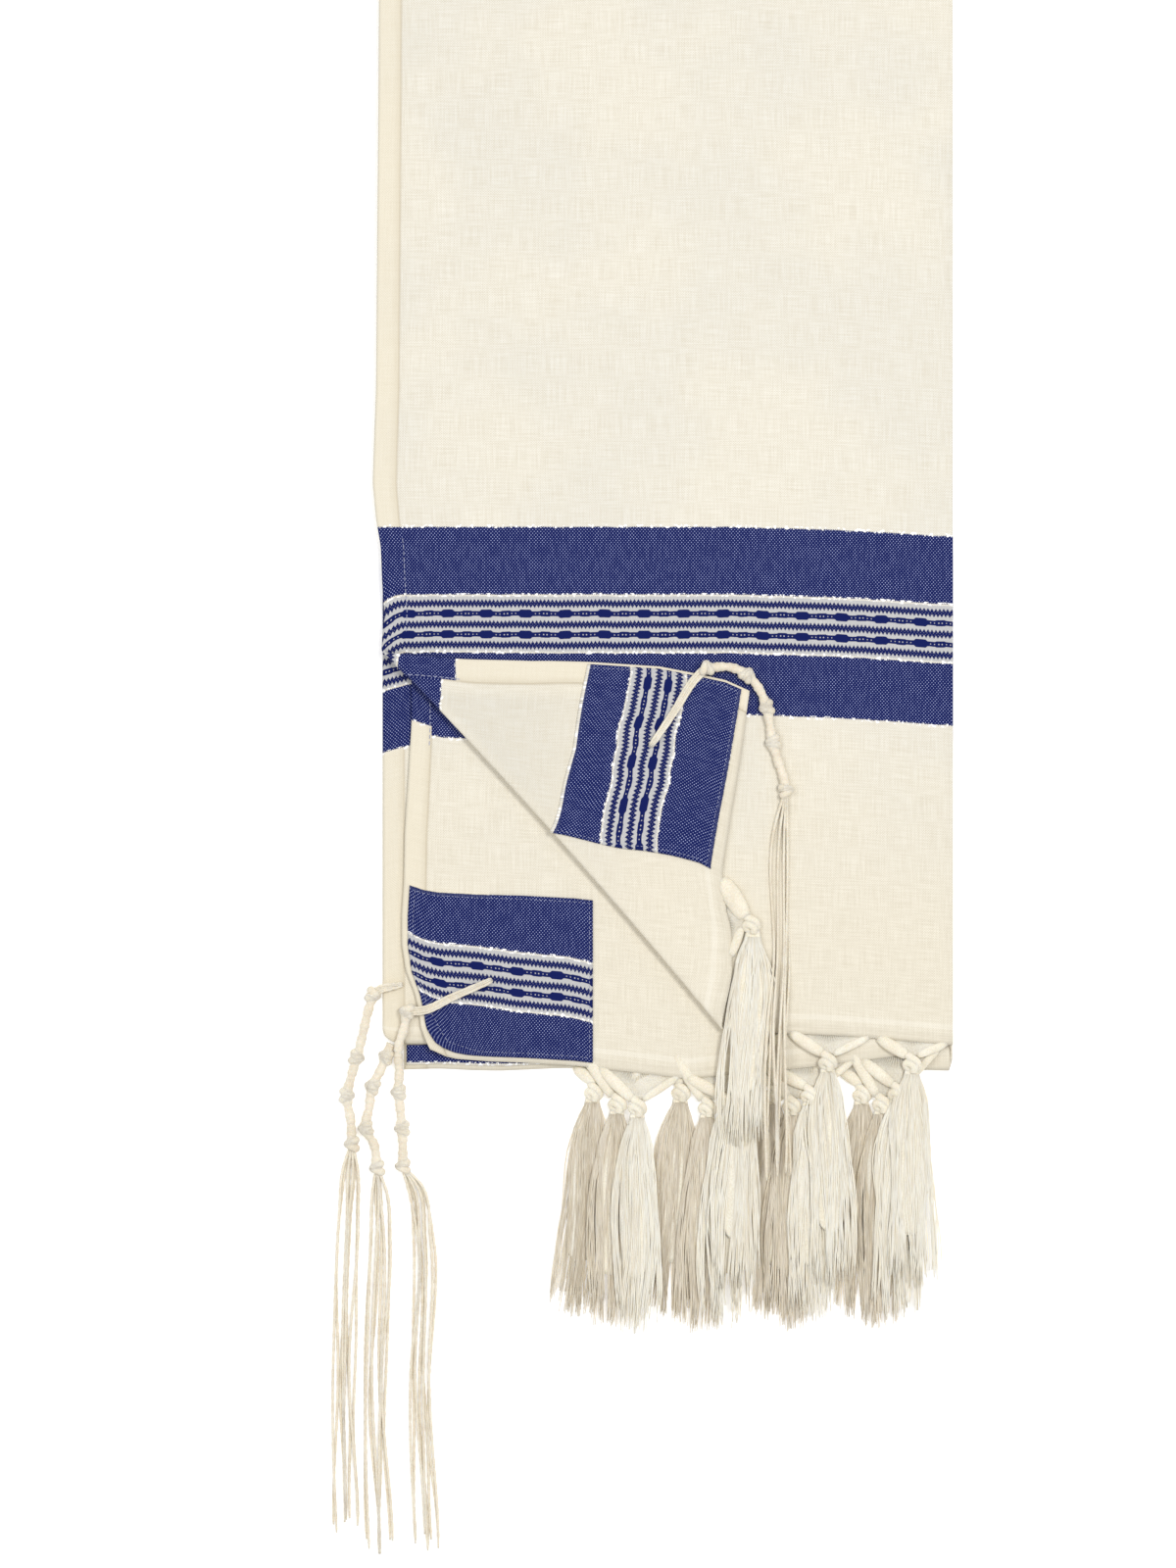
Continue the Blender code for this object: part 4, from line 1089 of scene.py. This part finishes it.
def corner_fringe(layer, material, chance):
    """A wound cord with double knots between flat loop strands and eight loose strands."""
    route = FRINGES[layer]
    parts = []
    loops = [row[:3] for row in route if row[3] == "loop"]
    wound = [row for row in route if row[3] != "loop"]
    first = np.array(wound[0][:3])
    if len(loops) > 1:
        ends = ([PIERCED[layer]] if layer in PIERCED else []) + loops + [tuple(first)]
        middle = curve_through(ends, 24)
        for strand in range(4):
            aside = (strand - 1.5) * 0.8
            run = np.gradient(middle, axis=0)
            level = np.stack([-run[:, 1], run[:, 0], 0 * run[:, 0]], axis=1)
            level /= np.linalg.norm(level, axis=1, keepdims=True) + 1e-9
            fan = np.interp(np.linspace(0, 1, 24), [0, 0.15, 0.6, 1], [0.5, 0.9, 1.3, 1.5])
            path = middle + level * (aside * fan)[:, None]
            path[:, 2] += 0.35 * np.sin(strand * 2.1 + np.linspace(0, 4, 24))
            parts.append(tubes(path[None], 0.72, 8, 1.0, 2, 1.6))
    spots = ([loops[-1]] if len(loops) == 1 else []) + [row[:3] for row in wound]
    cord = curve_through(spots, 240)
    near = np.zeros(240)
    for row in wound:
        if row[3] == "knot":
            distance = np.linalg.norm(cord - np.array(row[:3]), axis=1)
            near = np.maximum(near, np.exp(-(distance / 2.7) ** 2))
    along = travelled(cord)
    lumps = 0.2 * np.sin(along * 0.75 + chance.uniform(0, 6))
    lumps = lumps + 0.14 * np.sin(along * 1.9 + chance.uniform(0, 6))
    parts.append(tubes(cord[None], (2.4 + 1.3 * near + lumps)[None], 18, 0.95, 3, 0.2, 0.012))
    for row in wound:
        if row[3] != "knot":
            continue
        centre = np.array(row[:3])
        index = int(np.argmin(np.linalg.norm(cord - centre, axis=1)))
        run = cord[min(index + 3, 239)] - cord[max(index - 3, 0)]
        run /= np.linalg.norm(run)
        level = np.array([-run[1], run[0], 0.0])
        lean = chance.choice((-1, 1))
        for shift, tilt in ((-1.1, 0.5 * lean), (1.2, -0.6 * lean)):
            around = np.linspace(0, 2 * math.pi, 25)[None, :, None]
            ring = (centre + run * shift + level * 2.2 * np.cos(around) + UP * 1.3 * np.sin(around)
                    + run * tilt * 2.0 * np.cos(around))
            parts.append(tubes(ring, 2.1, 16, 1.0, 3, 0.4, 0.02))
    parts += loose_strands(layer, cord[-1], chance)
    points, faces = joined(parts)
    points[:, 2] = np.maximum(points[:, 2], FLOOR_GAP)
    piece = make(f"cords_{layer}", points, faces, material)
    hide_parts(f"fringe_{layer}")
    return piece


def loose_strands(layer, start, chance):
    """Eight loose strands that fall from the last knot, uneven at their ends."""
    parts = []
    rows = LOOSE[layer]
    for strand in range(8):
        aside = (strand % 4 - 1.5) / 1.5
        over = 1 if strand < 4 else -1
        spots = [np.array(start) + np.array([0.5 * aside, -0.5, 0.5 * over])]
        for x, y, z, half in rows:
            wander = chance.uniform(-0.28, 0.28)
            spots.append(np.array([x + (aside + wander) * half, y, z + 0.75 * over * min(1, half / 4)]))
        spots[-1][1] += chance.uniform(-5, 5)
        path = curve_through(spots, 90)
        path[:, 0] += 1.1 * np.sin(np.linspace(0, 6 + strand, 90) + 2 * strand) * np.linspace(0, 1, 90)
        thick = table(STRAND_SHAPE, np.linspace(0, 1, 90))
        parts.append(tubes(path[None], thick[None], 8, 1.0, 2, 1.7))
    return parts


def stitches(name, route, side, material, step=3.4, length=2.2, thick=0.24, proud=0.12):
    """Running stitches on the cloth along (u, v) points; side is 1 on the right side."""
    route = np.asarray(route, float)
    along = travelled(route)
    starts = np.arange(0.5, along[-1] - length, step)
    t = np.linspace(0, 1, 5)
    at = starts[:, None] + t[None, :] * length
    u = np.interp(at, along, route[:, 0]).ravel()
    v = np.interp(at, along, route[:, 1]).ravel()
    spot = place(u, v)
    normal = facing(place, u, v)
    spot[:, 2] += lift(u, v)
    off = side(u, v) + np.sign(side(u, v)) * np.tile(proud * np.sin(math.pi * t) - 0.08, len(starts))
    paths = (spot + normal * off[:, None]).reshape(len(starts), 5, 3)
    points, faces = tubes(paths, thick, 6, 0.8)
    return make(name, points, faces, material)


def all_stitches(material):
    """Hem and patch seams that show."""
    inner_u = ACROSS - HEM_WIDTH + 1.0

    def patch_top(u, v):
        return hem_half(u, v) - SEAM_GAP * 0.4 - PATCH_THICK

    pieces = [
        stitches("stitch_top_hem", ((HEM_WIDTH + 0.6, 214), (HEM_WIDTH + 0.6, 266)), half_wall, material),
        stitches("stitch_flap_hem", ((HEM_WIDTH - 1.0, 158), (HEM_WIDTH - 1.0, 190)), hem_half, material),
        stitches("stitch_inner_hem", ((inner_u, 164), (inner_u, 300)), hem_half, material),
    ]
    high = PATCH_ALONG - 1.8
    inset = ((0.02, 0.025), (0.98, 0.025), (0.98, 0.98), (0.5, 0.98), (0.02, 0.98), (0.02, 0.025))
    pieces.append(stitches("stitch_patch_turned", [turned_patch_spot(*spot) for spot in inset],
                           patch_top, material, 2.6, 1.3, 0.15))
    inset = ((6, 22), (6, high), (99.2, high), (99.2, 5), (34, 5), (16, 9), (8, 22))
    edge = [(ACROSS - inward, v) for inward, v in inset]
    pieces.append(stitches("stitch_patch_inner", edge, patch_top, material, 2.6, 1.3, 0.15))
    return pieces


# What the camera sees from top to bottom: rows, and the height of each
VIEW_ROWS = 1600
ROW_HEIGHT = 0.526


def stage_and_light():
    """Pale floor, soft light from the upper right and the camera straight above."""
    floor_data = bpy.data.meshes.new("floor")
    half = 12.0
    corners = [(-half, -half, 0), (half, -half, 0), (half, half, 0), (-half, half, 0)]
    floor_data.from_pydata(corners, [], [(0, 1, 2, 3)])
    floor = in_scene("floor", floor_data)
    floor.location.z = -0.0002
    n = Nodes("floor_white")
    n.finish((0.92, 0.92, 0.92, 1), 0.9)
    n.set("Emission Color", (1, 1, 1, 1))
    n.set("Emission Strength", 0.3)
    floor_data.materials.append(n.material)
    middle = Vector(SHIFT * MM)

    def area(name, place_at, size, power, colour=(1, 1, 1)):
        lamp = bpy.data.lights.new(name, "AREA")
        lamp.size = size
        lamp.energy = power
        lamp.color = colour
        holder = in_scene(name, lamp)
        holder.location = middle + Vector(place_at)
        holder.rotation_euler = (middle - holder.location).to_track_quat("-Z", "Y").to_euler()

    area("key", (0.7, 0.5, 2.04), 0.55, 21, (1.0, 0.985, 0.95))
    area("fill", (-1.0, 0.1, 2.0), 1.5, 13, (1.0, 0.99, 0.965))
    world = bpy.data.worlds.new("pale")
    world.use_nodes = True
    background = world.node_tree.nodes["Background"]
    background.inputs["Color"].default_value = (1, 1, 1, 1)
    background.inputs["Strength"].default_value = 0.58
    bpy.context.scene.world = world
    view = bpy.data.cameras.new("camera")
    view.sensor_width = 36
    view.lens = 80
    seen_height = VIEW_ROWS * ROW_HEIGHT * MM
    holder = in_scene("camera", view)
    holder.location = middle + Vector((0, 0, seen_height * view.lens / view.sensor_width + TOP_Z * MM))
    bpy.context.scene.camera = holder
    bpy.context.scene.view_settings.view_transform = "Standard"


weave = cloth_material("woven_wool")
patch_weave = cloth_material("patch_wool", hems=False)
front_yarn = yarn_material("warp_yarn", (1.0, 0.96, 0.84), (0.90, 0.82, 0.66))
# Painted shade: the tassels of the third and bottom layers get a darker copy of the yarn
back_yarn_shaded = yarn_material("warp_yarn_back_shaded", (0.88, 0.79, 0.64), (0.64, 0.55, 0.41))
white_yarn = yarn_material("white_cord", (0.86, 0.80, 0.68), (0.70, 0.62, 0.49), 1800.0, 1.0)
thread = yarn_material("sewing_thread", (0.42, 0.44, 0.58), (0.30, 0.32, 0.46))
cloth, lower, turned_patch, inner_patch, bottom_patch = cloth_pieces(weave, patch_weave)
# Yarn of the ropes and knot, and painted shade on the skirt's core
rope_yarn_and_core_shade = yarn_material("bunched_warp_and_core_shade", (0.91, 0.86, 0.74), (0.76, 0.69, 0.55), 2200.0, 2.0)
tassel_pieces = tassels(front_yarn, back_yarn_shaded, rope_yarn_and_core_shade)
chance = random.Random(11)
fringes = [corner_fringe(layer, white_yarn, chance) for layer in FRINGES]
seams = all_stitches(thread)
stage_and_light()
